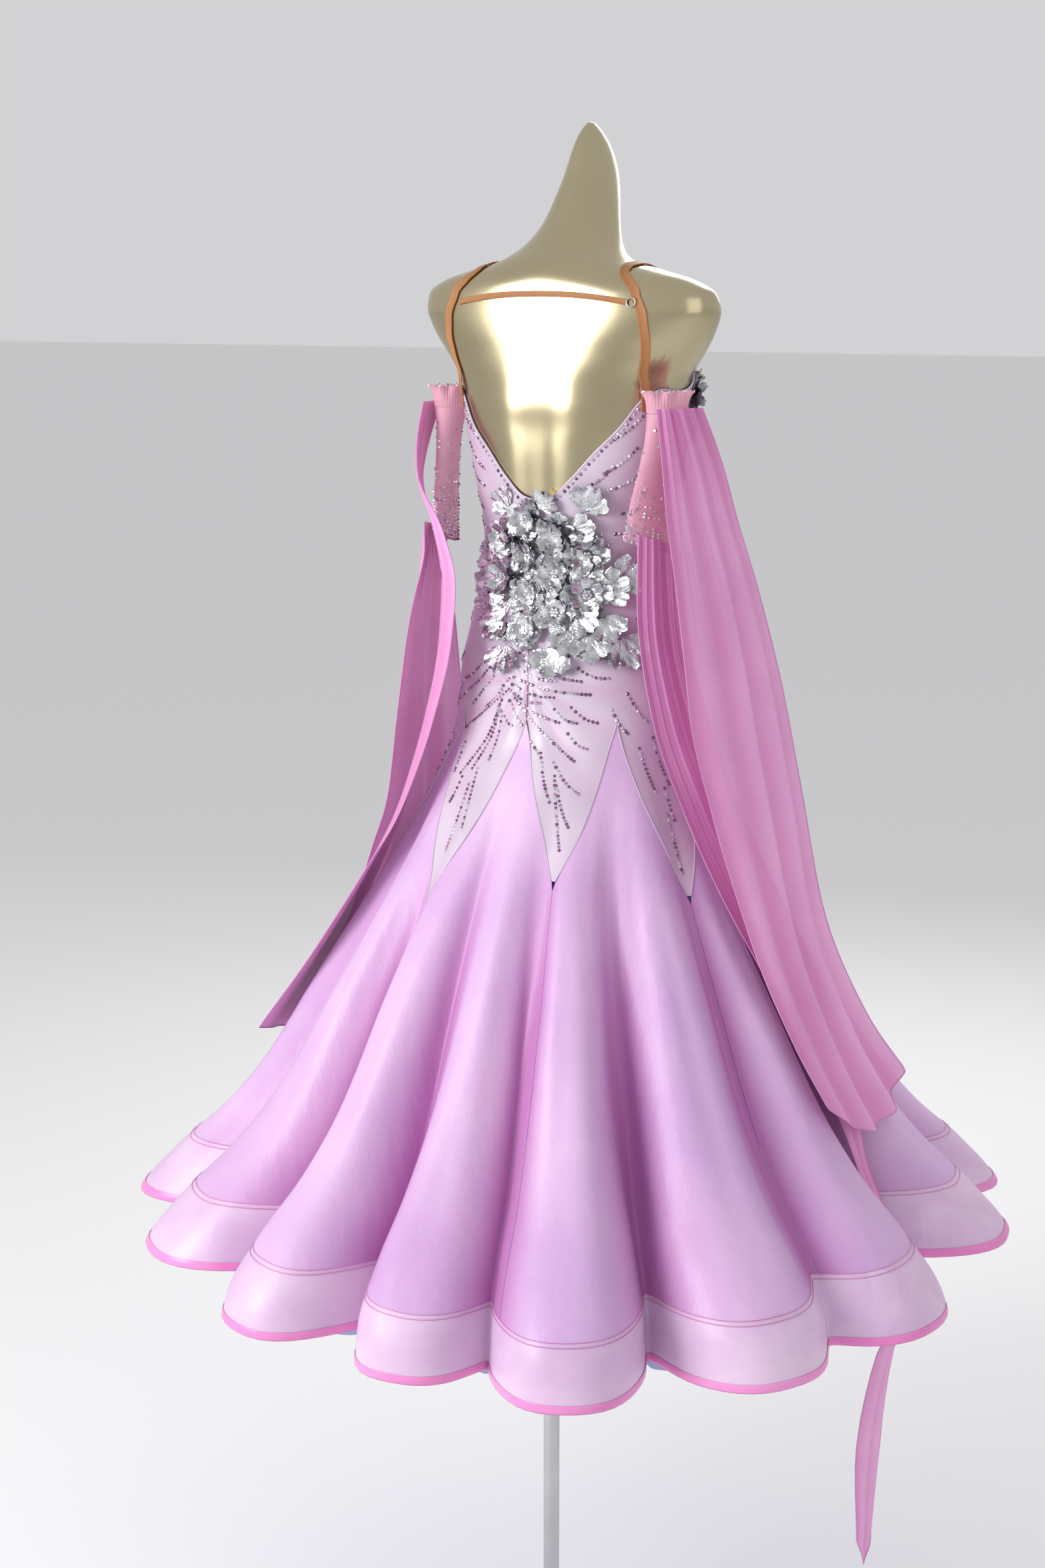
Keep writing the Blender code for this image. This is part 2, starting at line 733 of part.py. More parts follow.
def gauntlet(side):
    """The net part of the sleeve: a limp tube, open at the armband and at the wrist."""
    sign = 1 if side == "r" else -1
    rows = []
    for height, turn, width, depth in GAUNTLET:
        middle, away, along = gauntlet_middle(side, turn)
        row = []
        share = between(height, GAUNTLET[0][0], GAUNTLET[-1][0])
        for j in range(GAUNTLET_COLUMNS + 1):
            a = 2 * math.pi * (j % GAUNTLET_COLUMNS) / GAUNTLET_COLUMNS
            slant = GAUNTLET_SLANT * share**2 * (1 + math.cos(a) * sign) / 2
            place = along * math.cos(a) * width + away * math.sin(a) * depth
            out = along * math.cos(a) / width + away * math.sin(a) / depth
            out = out / np.linalg.norm(out)
            row.append((middle + place + np.array((0, 0, height - slant)), out))
        rows.append(row)
    return wall("gauntlet_" + side, [rows], CHIFFON, NET_PINK, roughness=0.6)


def float_point(plan, across, down):
    """A point of a float: across runs 0 to 1 between its edges, down from its top to its free end."""
    rows = plan["rows"]
    last = len(rows) - 1
    table = [(k / last, *row) for k, row in enumerate(rows)]
    height, distance = blend(table, down, 1), blend(table, down, 2)
    first_edge, second_edge = blend(table, down, 3), blend(table, down, 4)
    drop = plan["drop"]
    drops = [(k / (len(drop) - 1), fall) for k, fall in enumerate(drop)]
    free = max(0.0, between(down, 0.6, 1)) ** 1.5
    start = plan["slant"][0] * (1 - across) + plan["slant"][1] * across
    height -= blend(drops, across, 1) * free + start * max(0.0, 1 - 5 * down)
    angle = first_edge + (second_edge - first_edge) * across
    first, final = plan["depth"]
    fold = (first + (final - first) * down) * (1 - math.cos(2 * math.pi * plan["folds"] * across)) / 2
    x, y = oval(angle, distance + fold, distance + fold, distance + fold, 2.0)
    return np.array((x, BODY_Y + y, height))


def float_piece(name):
    """A hanging length of chiffon, gathered at its top, lying over the skirt."""
    plan = FLOATS[name]
    steps = len(plan["rows"]) + 1

    def surface(across, down):
        return float_point(plan, across, min(max(down, 0.0), 1.0))

    rows = []
    for i in range(steps + 1):
        down = i / steps
        row = []
        for j in range(plan["columns"] + 1):
            across = j / plan["columns"]
            high, low = max(down - 0.004, 0.0), min(down + 0.004, 1.0)
            left, right = max(across - 0.004, 0.0), min(across + 0.004, 1.0)
            slope_down = surface(across, low) - surface(across, high)
            slope_along = surface(right, down) - surface(left, down)
            out = np.cross(slope_down, slope_along)
            row.append((surface(across, down), out / np.linalg.norm(out)))
        rows.append(row)
    return wall(name, [rows], CHIFFON, FLOAT_PINK, roughness=0.55)


def ribbon(name, route, width, colour, each=3):
    """A flat strap lying on the form along a smooth route of angles and heights."""
    steps = each * (len(route) - 1)
    tables = [[(k, row[c]) for k, row in enumerate(route)] for c in range(3)]

    def middle(t):
        angle, height, raised = (blend(table, t, 1) for table in tables)
        out = out_of_form(angle, height)
        lift = STRAP_LIFT + (BODY_GAP + CLOTH) * raised
        return form_point(angle, height) + out * lift, out

    rows = []
    for i in range(steps + 1):
        t = i / each
        point, out = middle(t)
        ahead = middle(min(t + 0.1, len(route) - 1))[0]
        behind = middle(max(t - 0.1, 0))[0]
        run = (ahead - behind) / np.linalg.norm(ahead - behind)
        side = np.cross(run, out)
        side = side / np.linalg.norm(side)
        rows.append([(point + side * width / 2 * s, out) for s in (-1, 1)])
    return wall(name, [rows], STRAP_WALL, colour, roughness=0.5)


def straps():
    left = [(360 - angle, height, raised) for angle, height, raised in STRAP_ROUTE]
    ribbon("strap_r", STRAP_ROUTE, STRAP_WIDTH, STRAP_TAN)
    ribbon("strap_l", left, STRAP_WIDTH, STRAP_TAN)
    low, high = BACK_STRAP_ENDS
    route = []
    for k in range(9):
        share = k / 8
        arch = BACK_STRAP_ARCH * math.sin(math.pi * share)
        route.append((low + (high - low) * share, BACK_STRAP_HEIGHT + arch, 0.0))
    ribbon("strap_back", route, BACK_STRAP_WIDTH, STRAP_TAN)


def placed_frame(angle, height, lift):
    """A place on the body fabric with its way out, its way round and its way up."""
    point, out = body_outside(angle, height, lift)
    round_ = np.cross((0, 0, 1.0), out)
    round_ = round_ / np.linalg.norm(round_)
    return point, out, round_, np.cross(out, round_)


def flower(number, angle, height, size, petals):
    """A cupped metallic flower with a raised heart, one closed piece on the body fabric."""
    point, out, round_, up = placed_frame(angle, height, FLOWER_LIFT)
    columns = petals * FLOWER_COLUMNS
    points, faces = [], []

    def ring(share, rise, lobe):
        first = len(points)
        for j in range(columns):
            a = 2 * math.pi * j / columns
            reach = size * share * (1 + lobe * math.cos(petals * a))
            lift = size * rise * (1 + 0.25 * lobe / 0.17 * math.cos(petals * a + 1.0))
            flat = round_ * math.cos(a) + up * math.sin(a)
            points.append(point + flat * reach + out * lift)
        return list(range(first, first + columns))

    tops = [ring(*row) for row in FLOWER_RINGS]
    under = [
        ring(share, max(0.0, rise - FLOWER_WALL / size) if share > 0.6 else 0.0, lobe)
        for share, rise, lobe in reversed(FLOWER_RINGS[1:])
    ]
    points.append(point + out * size * FLOWER_RINGS[0][1] * 0.75)
    heart = len(points) - 1
    points.append(np.array(point))
    foot = len(points) - 1
    loops = tops + under
    for j in range(columns):
        k = (j + 1) % columns
        faces.append([heart, tops[0][j], tops[0][k]])
        for inner, outer in zip(loops, loops[1:]):
            faces.append([inner[j], outer[j], outer[k], inner[k]])
        faces.append([loops[-1][j], foot, loops[-1][k]])
    mesh = mesh_of(f"flower_{number}", points, faces)
    made = new_object(f"flower_{number}", mesh, SILVER, metallic=0.9, roughness=0.3)
    return seat(made, fabric, -out)


def petal(number, angle, height, size, points_to):
    """A loose fan-shaped petal, cupped away from the body fabric."""
    point, out, round_, up = placed_frame(angle, height, FLOWER_LIFT)
    rows = []
    for i in range(PETAL_ROWS + 1):
        share = 0.12 + 0.88 * i / PETAL_ROWS
        row = []
        for j in range(PETAL_COLUMNS + 1):
            fan = j / PETAL_COLUMNS - 0.5
            a = math.radians(points_to + PETAL_SPREAD * fan)
            scallop = 1 + 0.07 * share * math.cos(2 * math.pi * 4 * fan)
            reach = size * share * scallop * (1 - 0.35 * abs(fan) ** 2)
            flat = round_ * math.cos(a) + up * math.sin(a)
            cup = size * PETAL_CUP * (share**2 * (1 - 1.2 * fan * fan) + 0.10)
            row.append((point + flat * reach + out * cup, out))
        rows.append(row)
    made = wall(f"petal_{number}", [rows], FLOWER_WALL, SILVER, metallic=0.9, roughness=0.3)
    return seat(made, fabric, -out)


def dress_form():
    """The limbless form, smooth and whole, from its flat underside to the tip of its neck."""
    columns = round(360 / ANGLE_STEP)
    points, faces = [], []
    for height, *_ in FORM:
        for j in range(columns):
            angle = j * ANGLE_STEP
            away = (angle - 180) / SPINE_WIDTH
            rise = between(height, SPINE_LOW, SPINE_HIGH)
            long = math.sin(math.pi * rise) ** 0.6 if 0 < rise < 1 else 0.0
            groove = SPINE_DEPTH * math.exp(-away * away) * long
            place = form_point(angle, height)
            place[1] -= groove
            points.append(place)
    for i in range(len(FORM) - 1):
        for j in range(columns):
            k = (j + 1) % columns
            low, high = i * columns, (i + 1) * columns
            faces.append([low + j, low + k, high + k, high + j])
    faces.append([j for j in reversed(range(columns))])
    last = (len(FORM) - 1) * columns
    faces.append([last + j for j in range(columns)])
    mesh = mesh_of("form_torso", points, faces)
    return new_object("form_torso", mesh, GOLD, metallic=0.9, roughness=0.35)


def turned(name, profile, colour, roughness):
    """A round piece turned about the Z axis from its profile, from the axis out and back."""
    mesh = mesh_of(name, [(r, 0, z) for r, z in profile], [])
    mesh.edges.add(len(profile) - 1)
    for k, edge in enumerate(mesh.edges):
        edge.vertices = (k, k + 1)
    made = new_object(name, mesh, colour, metallic=0.9, roughness=roughness, smooth=False, raised=0)
    screw = made.modifiers.new("Turn", "SCREW")
    screw.steps = screw.render_steps = 28
    screw.merge_threshold = 0.0001
    screw.use_merge_vertices = True
    screw.use_smooth_shade = False
    return made


def stand():
    """The steel pole and the round base plate that the form stands on."""
    edge = BASE_RADIUS
    collar = POLE_RADIUS + 0.012
    plate = BASE_EDGE
    turned("stand_base", (
        (0, BASE_HEIGHT), (collar, BASE_HEIGHT), (collar + 0.004, plate + 0.004),
        (edge - 0.003, plate), (edge, plate - 0.003), (edge, 0.0), (0, 0.0),
    ), STEEL, 0.3)
    top = RAISED + FORM[0][0] - 0.0003
    low = BASE_HEIGHT + 0.0003
    turned("stand_pole", (
        (0, top), (POLE_RADIUS, top), (POLE_RADIUS, low), (0, low),
    ), STEEL, 0.25)


for old in list(bpy.data.objects):
    bpy.data.objects.remove(old)
dress = bpy.data.collections.new("ballroom_dress_on_form")
bpy.context.scene.collection.children.link(dress)

dress_form()
stand()
fabric = [
    body_panel("body_front", -2, 4),
    body_panel("body_back_left", 2, 2),
    body_panel("body_back_right", 4, 2),
]
for each in range(GORES):
    godet(each)
hem_band()
petticoat()
for each in ("l", "r"):
    _, off_body, _ = sleeve_frame(each)
    band, net = armband(each), gauntlet(each)
    seat(band, fabric, -off_body, also=[net])
    seat(float_piece("float_outer_" + each), [band, net], -off_body)
    seat(float_piece("float_inner_" + each), [net], -off_body)
straps()
for each, row in enumerate(FLOWERS, 1):
    flower(each, *row)
for each, row in enumerate(PETALS, 1):
    petal(each, *row)
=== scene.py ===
"""Looks for the ballroom dance dress on its form: cloth, stones, flowers, finishes, light and camera.

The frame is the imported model. Angles go round the body in degrees: 0 at the centre front, 90 at the
wearer's left side, 180 at the centre back and 270 at the wearer's right side. Heights in the tables
are measured from a level RAISED above the floor, as in the part's source.
"""

import bisect
import math

import bmesh
import bpy
import numpy as np
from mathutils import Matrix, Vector


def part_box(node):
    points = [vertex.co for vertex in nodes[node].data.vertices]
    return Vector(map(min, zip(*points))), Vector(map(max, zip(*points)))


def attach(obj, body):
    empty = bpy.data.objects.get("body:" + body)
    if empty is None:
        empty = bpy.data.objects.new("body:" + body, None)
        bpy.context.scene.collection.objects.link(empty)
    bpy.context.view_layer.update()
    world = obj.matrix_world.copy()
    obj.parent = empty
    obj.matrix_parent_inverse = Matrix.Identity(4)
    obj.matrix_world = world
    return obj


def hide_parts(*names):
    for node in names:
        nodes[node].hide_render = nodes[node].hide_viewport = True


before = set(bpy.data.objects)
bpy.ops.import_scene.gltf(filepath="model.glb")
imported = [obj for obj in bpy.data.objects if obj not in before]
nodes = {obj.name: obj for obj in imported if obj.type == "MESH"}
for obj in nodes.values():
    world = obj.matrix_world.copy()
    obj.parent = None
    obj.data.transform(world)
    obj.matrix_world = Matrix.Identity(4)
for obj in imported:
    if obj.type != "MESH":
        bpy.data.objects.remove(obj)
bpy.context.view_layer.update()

# Sizes that the part's source also has
RAISED = 0.140
BODY_Y = -0.050
CLOTH = 0.0015
CHIFFON = 0.0012
BODY_GAP = 0.0014
LAY = 0.0004
SEAM = 0.0004
GORES = 8
GORE_ANGLE = 360 / GORES
GODET_TOP = 1.128
HEM = 0.425
HEM_RISE = 0.065
HEM_BAND = 0.074
VIEW_ANGLE = 210
FORM = (
    # height  width  front  back   forward square
    (1.060, 0.138, 0.092, 0.100, 0.000, 2.0),
    (1.085, 0.146, 0.097, 0.106, 0.000, 2.0),
    (1.115, 0.150, 0.100, 0.110, 0.000, 2.0),
    (1.150, 0.151, 0.100, 0.111, 0.000, 2.0),
    (1.185, 0.147, 0.098, 0.108, 0.000, 2.0),
    (1.220, 0.139, 0.095, 0.102, 0.000, 2.0),
    (1.255, 0.130, 0.091, 0.094, 0.000, 2.0),
    (1.290, 0.121, 0.087, 0.088, 0.000, 2.0),
    (1.330, 0.116, 0.085, 0.085, 0.000, 2.0),
    (1.370, 0.119, 0.090, 0.086, 0.000, 2.0),
    (1.410, 0.126, 0.098, 0.089, 0.000, 2.1),
    (1.450, 0.134, 0.105, 0.092, 0.000, 2.1),
    (1.485, 0.140, 0.109, 0.094, 0.000, 2.2),
    (1.515, 0.144, 0.109, 0.096, 0.000, 2.2),
    (1.545, 0.153, 0.104, 0.096, 0.000, 2.2),
    (1.570, 0.170, 0.094, 0.093, 0.000, 2.3),
    (1.600, 0.190, 0.080, 0.088, -0.003, 2.4),
    (1.626, 0.199, 0.070, 0.082, -0.006, 2.5),
    (1.645, 0.195, 0.063, 0.076, -0.010, 2.4),
    (1.660, 0.172, 0.057, 0.068, -0.016, 2.2),
    (1.672, 0.132, 0.053, 0.060, -0.020, 2.0),
    (1.684, 0.088, 0.050, 0.054, -0.018, 2.0),
    (1.700, 0.066, 0.048, 0.050, -0.004, 2.0),
    (1.724, 0.050, 0.049, 0.048, 0.014, 2.0),
    (1.760, 0.037, 0.052, 0.046, 0.030, 2.0),
    (1.795, 0.027, 0.047, 0.040, 0.040, 2.0),
    (1.822, 0.019, 0.034, 0.032, 0.042, 2.0),
    (1.840, 0.011, 0.019, 0.020, 0.041, 2.0),
    (1.850, 0.004, 0.007, 0.008, 0.040, 2.0),
)
HIP = 1.150              # the garment hangs free of the form below this height
SPINE_DEPTH = 0.006
SPINE_WIDTH = 9          # degrees
SPINE_LOW, SPINE_HIGH = 1.27, 1.56
FLARE = (
    # height  width  front  back   fold
    (1.110, 0.1545, 0.1070, 0.1180, 0.000),
    (1.060, 0.1720, 0.1320, 0.1420, 0.001),
    (1.000, 0.1990, 0.1680, 0.1750, 0.006),
    (0.930, 0.2360, 0.2200, 0.2240, 0.018),
    (0.800, 0.3130, 0.3070, 0.3080, 0.042),
    (0.670, 0.3920, 0.3880, 0.3890, 0.066),
    (0.600, 0.4500, 0.4480, 0.4480, 0.084),
    (0.540, 0.5150, 0.5150, 0.5150, 0.100),
    (0.480, 0.5640, 0.5600, 0.5620, 0.108),
    (0.420, 0.5760, 0.5700, 0.5740, 0.110),
)
FOLD_WIDEN = 0.100
VALLEY_POWER = 1.25
FOLDS = (
    # angle reach depth
    (7, 0.99, 0.90),
    (30, 1.00, 1.00),
    (52, 0.98, 0.95),
    (70, 1.00, 1.05),
    (96, 1.00, 0.95),
    (118, 1.01, 1.05),
    (142, 1.00, 1.10),
    (167, 0.99, 1.15),
    (187, 0.95, 0.90),
    (209, 0.99, 1.30),
    (235, 1.00, 0.60),
    (256, 1.02, 1.55),
    (285, 1.01, 1.00),
    (307, 1.01, 1.05),
    (327, 1.00, 0.95),
    (347, 0.98, 1.00),
)
NECKLINE = (
    # degrees from the centre back, height
    (0, 1.3950),
    (8, 1.4000),
    (20, 1.4240),
    (32, 1.4550),
    (46, 1.4880),
    (60, 1.5220),
    (72, 1.5310),
    (90, 1.5280),
    (108, 1.5350),
    (128, 1.5520),
    (150, 1.5600),
    (168, 1.5480),
    (180, 1.5400),
)
POINT_ENDS = (0.940, 0.920, 0.930, 0.895, 0.948, 0.925, 0.930, 0.945)
POINT_TIP = 0.03
PETTICOAT_TOP = 1.045
PETTICOAT_DROP = 0.016
PETTICOAT_INSET = 0.021
PETTICOAT_FULL = 0.45
BAND_HALF_WIDTH = 0.026
BAND_HALF_DEPTH = 0.019
BAND_LOW, BAND_HIGH = 1.504, 1.530
SLEEVE_ANGLES = {"r": 247, "l": 98}
GAUNTLET = (
    # height turn  width  depth
    (1.5035, 0, 0.0255, 0.0190),
    (1.4750, -2, 0.0240, 0.0135),
    (1.4350, -4, 0.0285, 0.0110),
    (1.3950, -6, 0.0345, 0.0100),
    (1.3550, -7, 0.0390, 0.0095),
)
GAUNTLET_SLANT = 0.022
FLOATS = {
    "float_outer_r": {
        "rows": (
            # height distance angles
            (1.510, 0.1930, 241, 262),
            (1.405, 0.2050, 242, 277),
            (1.295, 0.2320, 242, 283),
            (1.160, 0.2620, 242, 287),
            (1.035, 0.2850, 246, 288),
            (0.876, 0.3190, 253, 286),
            (0.760, 0.3720, 256, 286),
            (0.690, 0.4200, 257, 288),
        ),
        "folds": 3.5, "depth": (0.003, 0.010), "pleats": 9.5, "pleat": 0.0022,
        "slant": (0.0, 0.0), "drop": (0.000, 0.035, 0.050, 0.040, 0.010),
    },
    "float_inner_r": {
        "rows": (
            (1.3620, 0.1860, 236, 256),
            (1.2600, 0.1930, 235, 257),
            (1.1400, 0.2130, 238, 262),
            (1.0300, 0.2400, 245, 269),
            (0.9300, 0.2730, 252, 276),
            (0.8500, 0.3100, 257, 279),
            (0.7600, 0.3550, 261, 279),
            (0.6700, 0.3900, 266, 275),
            (0.5900, 0.4140, 268.8, 272.4),
            (0.5000, 0.4560, 269.2, 272.0),
            (0.4300, 0.4740, 269.2, 272.0),
            (0.3700, 0.4560, 266.0, 272.5),
            (0.2500, 0.4400, 264.0, 272.5),
            (0.1300, 0.4350, 266.0, 270.5),
        ),
        "folds": 2.0, "depth": (0.002, 0.006), "pleats": 7.0, "pleat": 0.0020,
        "slant": (0.0, 0.022), "drop": (0.010, 0.050, 0.000),
    },
    "float_outer_l": {
        "rows": (
            (1.5100, 0.1975, 92, 106),
            (1.4300, 0.1985, 107, 127),
            (1.3600, 0.1790, 121, 143),
            (1.2900, 0.1680, 122, 148),
            (1.2200, 0.1720, 120, 147),
            (1.1200, 0.1900, 114, 142),
            (1.0000, 0.2260, 108, 134),
            (0.9300, 0.2620, 104, 128),
            (0.8000, 0.3400, 98, 122),
            (0.7000, 0.4080, 94, 116),
        ),
        "folds": 1.5, "depth": (0.002, 0.006), "pleats": 6.5, "pleat": 0.0020,
        "slant": (0.0, 0.0), "drop": (0.040, 0.020, 0.000),
    },
    "float_inner_l": {
        "rows": (
            (1.3620, 0.1960, 93, 113),
            (1.3000, 0.2040, 88, 112),
            (1.2400, 0.2180, 80, 110),
            (1.1200, 0.2380, 72, 106),
            (1.0000, 0.2560, 66, 103),
            (0.9300, 0.2820, 62, 100),
            (0.8000, 0.3450, 58, 94),
            (0.6900, 0.4350, 54, 89),
        ),
        "folds": 3.5, "depth": (0.003, 0.010), "pleats": 17.5, "pleat": 0.0030,
        "slant": (0.022, 0.0), "drop": (0.030, 0.030, 0.020, 0.000),
    },
}
STRAP_WIDTH = 0.012
BACK_STRAP_WIDTH = 0.007
STRAP_WALL = 0.0014
STRAP_LIFT = 0.0009
STRAP_ROUTE = (
    # angle height on fabric
    (241.0, 1.5060, 1.0),
    (239.0, 1.5280, 1.0),
    (233.0, 1.5560, 0.0),
    (226.0, 1.5850, 0.0),
    (219.0, 1.6160, 0.0),
    (216.0, 1.6400, 0.0),
    (218.5, 1.6580, 0.0),
    (228.0, 1.6700, 0.0),
    (247.0, 1.6775, 0.0),
    (270.0, 1.6795, 0.0),
    (293.0, 1.6770, 0.0),
    (312.0, 1.6680, 0.0),
    (322.0, 1.6500, 0.0),
    (326.0, 1.6200, 0.0),
    (327.0, 1.5920, 0.0),
    (326.0, 1.5600, 1.0),
    (325.5, 1.5400, 1.0),
)
BACK_STRAP_HEIGHT = 1.634
BACK_STRAP_ENDS = (148.2, 211.8)
BACK_STRAP_ARCH = 0.010
FLOWERS = (
    # angle  height size   petals
    (173.0, 1.372, 0.0190, 5),
    (155.0, 1.348, 0.0185, 5),
    (193.0, 1.356, 0.0190, 5),
    (212.0, 1.330, 0.0200, 6),
    (174.5, 1.326, 0.0180, 5),
    (157.0, 1.298, 0.0215, 6),
    (192.5, 1.308, 0.0195, 5),
    (211.5, 1.282, 0.0225, 6),
    (175.5, 1.280, 0.0190, 5),
    (193.0, 1.260, 0.0195, 5),
    (177.0, 1.236, 0.0180, 5),
    (303.0, 1.523, 0.0230, 6),
    (315.0, 1.484, 0.0215, 6),
)
PETALS = (
    # angle  height size   points
    (208.0, 1.384, 0.026, 60),
    (146.0, 1.322, 0.022, 200),
    (158.0, 1.256, 0.026, 250),
    (166.0, 1.218, 0.026, 265),
    (194.0, 1.220, 0.028, 260),
    (212.0, 1.238, 0.028, 275),
    (228.0, 1.232, 0.030, 300),
    (229.0, 1.300, 0.026, 20),
    (311.0, 1.446, 0.024, 270),
)

# Sizes of the looks alone
GATHER_REACH = 0.45          # share of a float down which its fine gathers fade
BROAD_FROM = 0.35            # share of a float down where its broad folds are full
FILL_PETALS = (
    # angle height size   points: foil petals that fill the cluster between the flowers
    (163.0, 1.388, 0.020, 150), (184.0, 1.342, 0.024, 40), (201.0, 1.334, 0.023, 210),
    (165.0, 1.324, 0.024, 120), (184.0, 1.300, 0.025, 300), (202.0, 1.303, 0.025, 80),
    (147.0, 1.298, 0.023, 190), (166.0, 1.276, 0.025, 230), (184.5, 1.262, 0.026, 100),
    (203.0, 1.262, 0.026, 330), (220.0, 1.286, 0.025, 20), (168.0, 1.248, 0.024, 200),
    (150.0, 1.272, 0.023, 160), (183.0, 1.384, 0.020, 60), (220.0, 1.258, 0.025, 290),
    (203.0, 1.240, 0.024, 250), (158.0, 1.326, 0.023, 30), (148.0, 1.346, 0.020, 240),
    (203.0, 1.360, 0.021, 15), (309.0, 1.504, 0.022, 120), (308.0, 1.465, 0.022, 330),
    (297.0, 1.516, 0.024, 60), (296.0, 1.492, 0.024, 200), (298.0, 1.466, 0.022, 300),
    (300.0, 1.440, 0.020, 255),
)
CAMERA_DISTANCE = 3.40
CAMERA_HEIGHT = 1.80
CAMERA_TILT = 10.5
CAMERA_TURN = 1.08
CAMERA_LENS = 62.4
CAMERA_SENSOR = 36
RUCHING = (178.0, 1.178)     # the heart of the gathers at the centre back: angle and height
RUCHING_RISE = 0.0022
RUCHING_REACH = 0.19
GATHERS = 13
BAND_FRILL = 0.0055           # how far the armbands' upper edge stands out in its frill
STONE_LINES = (
    # from angle, height, to angle, height
    (169.3, 1.164, 137.0, 1.105), (143.4, 1.090, 144.0, 1.055), (166.1, 1.149, 148.8, 1.055),
    (164.5, 1.141, 155.6, 1.063), (165.6, 1.136, 164.5, 1.076), (159.4, 1.064, 162.8, 0.996),
    (157.2, 1.044, 157.5, 0.966), (150.8, 1.051, 149.0, 1.020), (169.7, 1.178, 154.4, 1.138),
    (160.9, 1.183, 144.1, 1.139), (156.4, 1.187, 128.6, 1.141), (153.4, 1.196, 131.5, 1.167),
    (173.6, 1.220, 191.2, 1.214), (174.3, 1.209, 189.2, 1.203), (176.5, 1.199, 207.1, 1.179),
    (175.3, 1.190, 194.1, 1.179), (172.3, 1.179, 211.3, 1.163), (171.7, 1.170, 193.6, 1.158),
    (171.1, 1.162, 187.0, 1.150), (173.0, 1.154, 196.9, 1.128), (174.6, 1.151, 205.2, 1.083),
    (170.4, 1.150, 188.8, 1.089), (189.7, 1.090, 196.7, 1.035), (197.5, 1.065, 203.0, 0.982),
    (198.8, 1.054, 205.2, 1.008), (196.2, 1.080, 208.1, 1.046), (201.4, 1.115, 210.8, 1.097),
    (194.4, 1.144, 205.3, 1.128), (202.2, 1.147, 215.1, 1.129), (207.2, 1.215, 221.7, 1.207),
    (205.7, 1.194, 221.1, 1.183), (209.9, 1.416, 223.7, 1.439), (209.3, 1.365, 217.4, 1.369),
    (208.5, 1.357, 220.5, 1.356), (215.1, 1.343, 228.5, 1.347), (201.9, 1.377, 210.2, 1.389),
    (222.2, 1.145, 230.7, 1.116), (165.5, 1.137, 173.2, 1.120),
)
SIDE_STONE_LINES = (
    # the same, on both sides of the body
    (230.6, 1.164, 242.0, 1.129), (236.9, 1.097, 241.7, 1.046), (248.0, 1.146, 262.0, 1.100),
    (245.4, 1.109, 249.8, 1.053), (247.0, 1.049, 248.4, 1.011), (245.6, 1.018, 246.9, 0.951),
    (218.4, 1.431, 237.7, 1.461), (221.8, 1.410, 245.8, 1.435), (231.5, 1.381, 247.0, 1.399),
    (229.8, 1.357, 245.5, 1.368), (239.1, 1.317, 272.0, 1.300), (262.8, 1.274, 265.1, 1.240),
    (241.3, 1.253, 261.3, 1.229), (234.2, 1.201, 252.6, 1.183), (222.3, 1.472, 243.7, 1.509),
)
STONE_KEPT = 0.55            # degrees that stones keep from a point's edge
STONE_STEP = 0.0050
GODET_CLOTH_START = 0.012    # share of a slit above the godet's cloth, hidden by the seam
FLOWER_GROW = 1.45
PETAL_GROW = 1.45
FLOWER_STONES = 16           # small stones scattered on a flower
PETAL_STONES = 9
PETAL_ROWS, PETAL_COLUMNS = 7, 9
LIGHTS = (
    # name, degrees from the view, distance, height, size, power
    ("key", -56, 3.0, 2.0, 1.5, 74),
    ("fill", 50, 3.4, 1.9, 2.2, 12),
    ("rim", 165, 3.2, 2.8, 1.6, 40),
)


def blend(rows, at, column):
    """A smooth value from a table whose first column rises or falls, by a cubic that doesn't overshoot."""
    keys = [row[0] for row in rows]
    values = [row[column] for row in rows]
    if keys[0] > keys[-1]:
        keys.reverse()
        values.reverse()
    if at <= keys[0]:
        return values[0]
    if at >= keys[-1]:
        return values[-1]
    i = bisect.bisect_right(keys, at) - 1
    step = keys[i + 1] - keys[i]
    slope = (values[i + 1] - values[i]) / step

    def end_slope(j):
        if j == 0 or j == len(keys) - 1:
            return slope
        before = (values[j] - values[j - 1]) / (keys[j] - keys[j - 1])
        after = (values[j + 1] - values[j]) / (keys[j + 1] - keys[j])
        if before * after <= 0:
            return 0.0
        return 2 * before * after / (before + after)

    t = (at - keys[i]) / step
    left, right = end_slope(i) * step, end_slope(i + 1) * step
    return (
        values[i] * (2 * t**3 - 3 * t**2 + 1)
        + left * (t**3 - 2 * t**2 + t)
        + values[i + 1] * (3 * t**2 - 2 * t**3)
        + right * (t**3 - t**2)
    )


def curve(rows, column, count=900):
    """A table's column as a function that takes arrays."""
    low, high = sorted((rows[0][0], rows[-1][0]))
    keys = np.linspace(low, high, count)
    values = [blend(rows, key, column) for key in keys]
    return lambda at: np.interp(at, keys, values)


FORM_CURVES = [curve(FORM, c) for c in range(1, 6)]
WORN = [float(FORM_CURVES[c](HIP)) + BODY_GAP for c in range(3)]
FLARE_ROWS = ((HIP, *WORN, 0.0), *FLARE)
FLARE_CURVES = [curve(FLARE_ROWS, c) for c in range(1, 5)]
NECK_CURVE = curve(NECKLINE, 1)
CREST_ROWS = [(a - 360, r, d) for a, r, d in FOLDS[-2:]] + list(FOLDS)
CREST_ROWS += [(a + 360, r, d) for a, r, d in FOLDS[:2]]
CRESTS = np.array(CREST_ROWS)


def smooth(t):
    t = np.clip(t, 0.0, 1.0)
    return t * t * (3 - 2 * t)


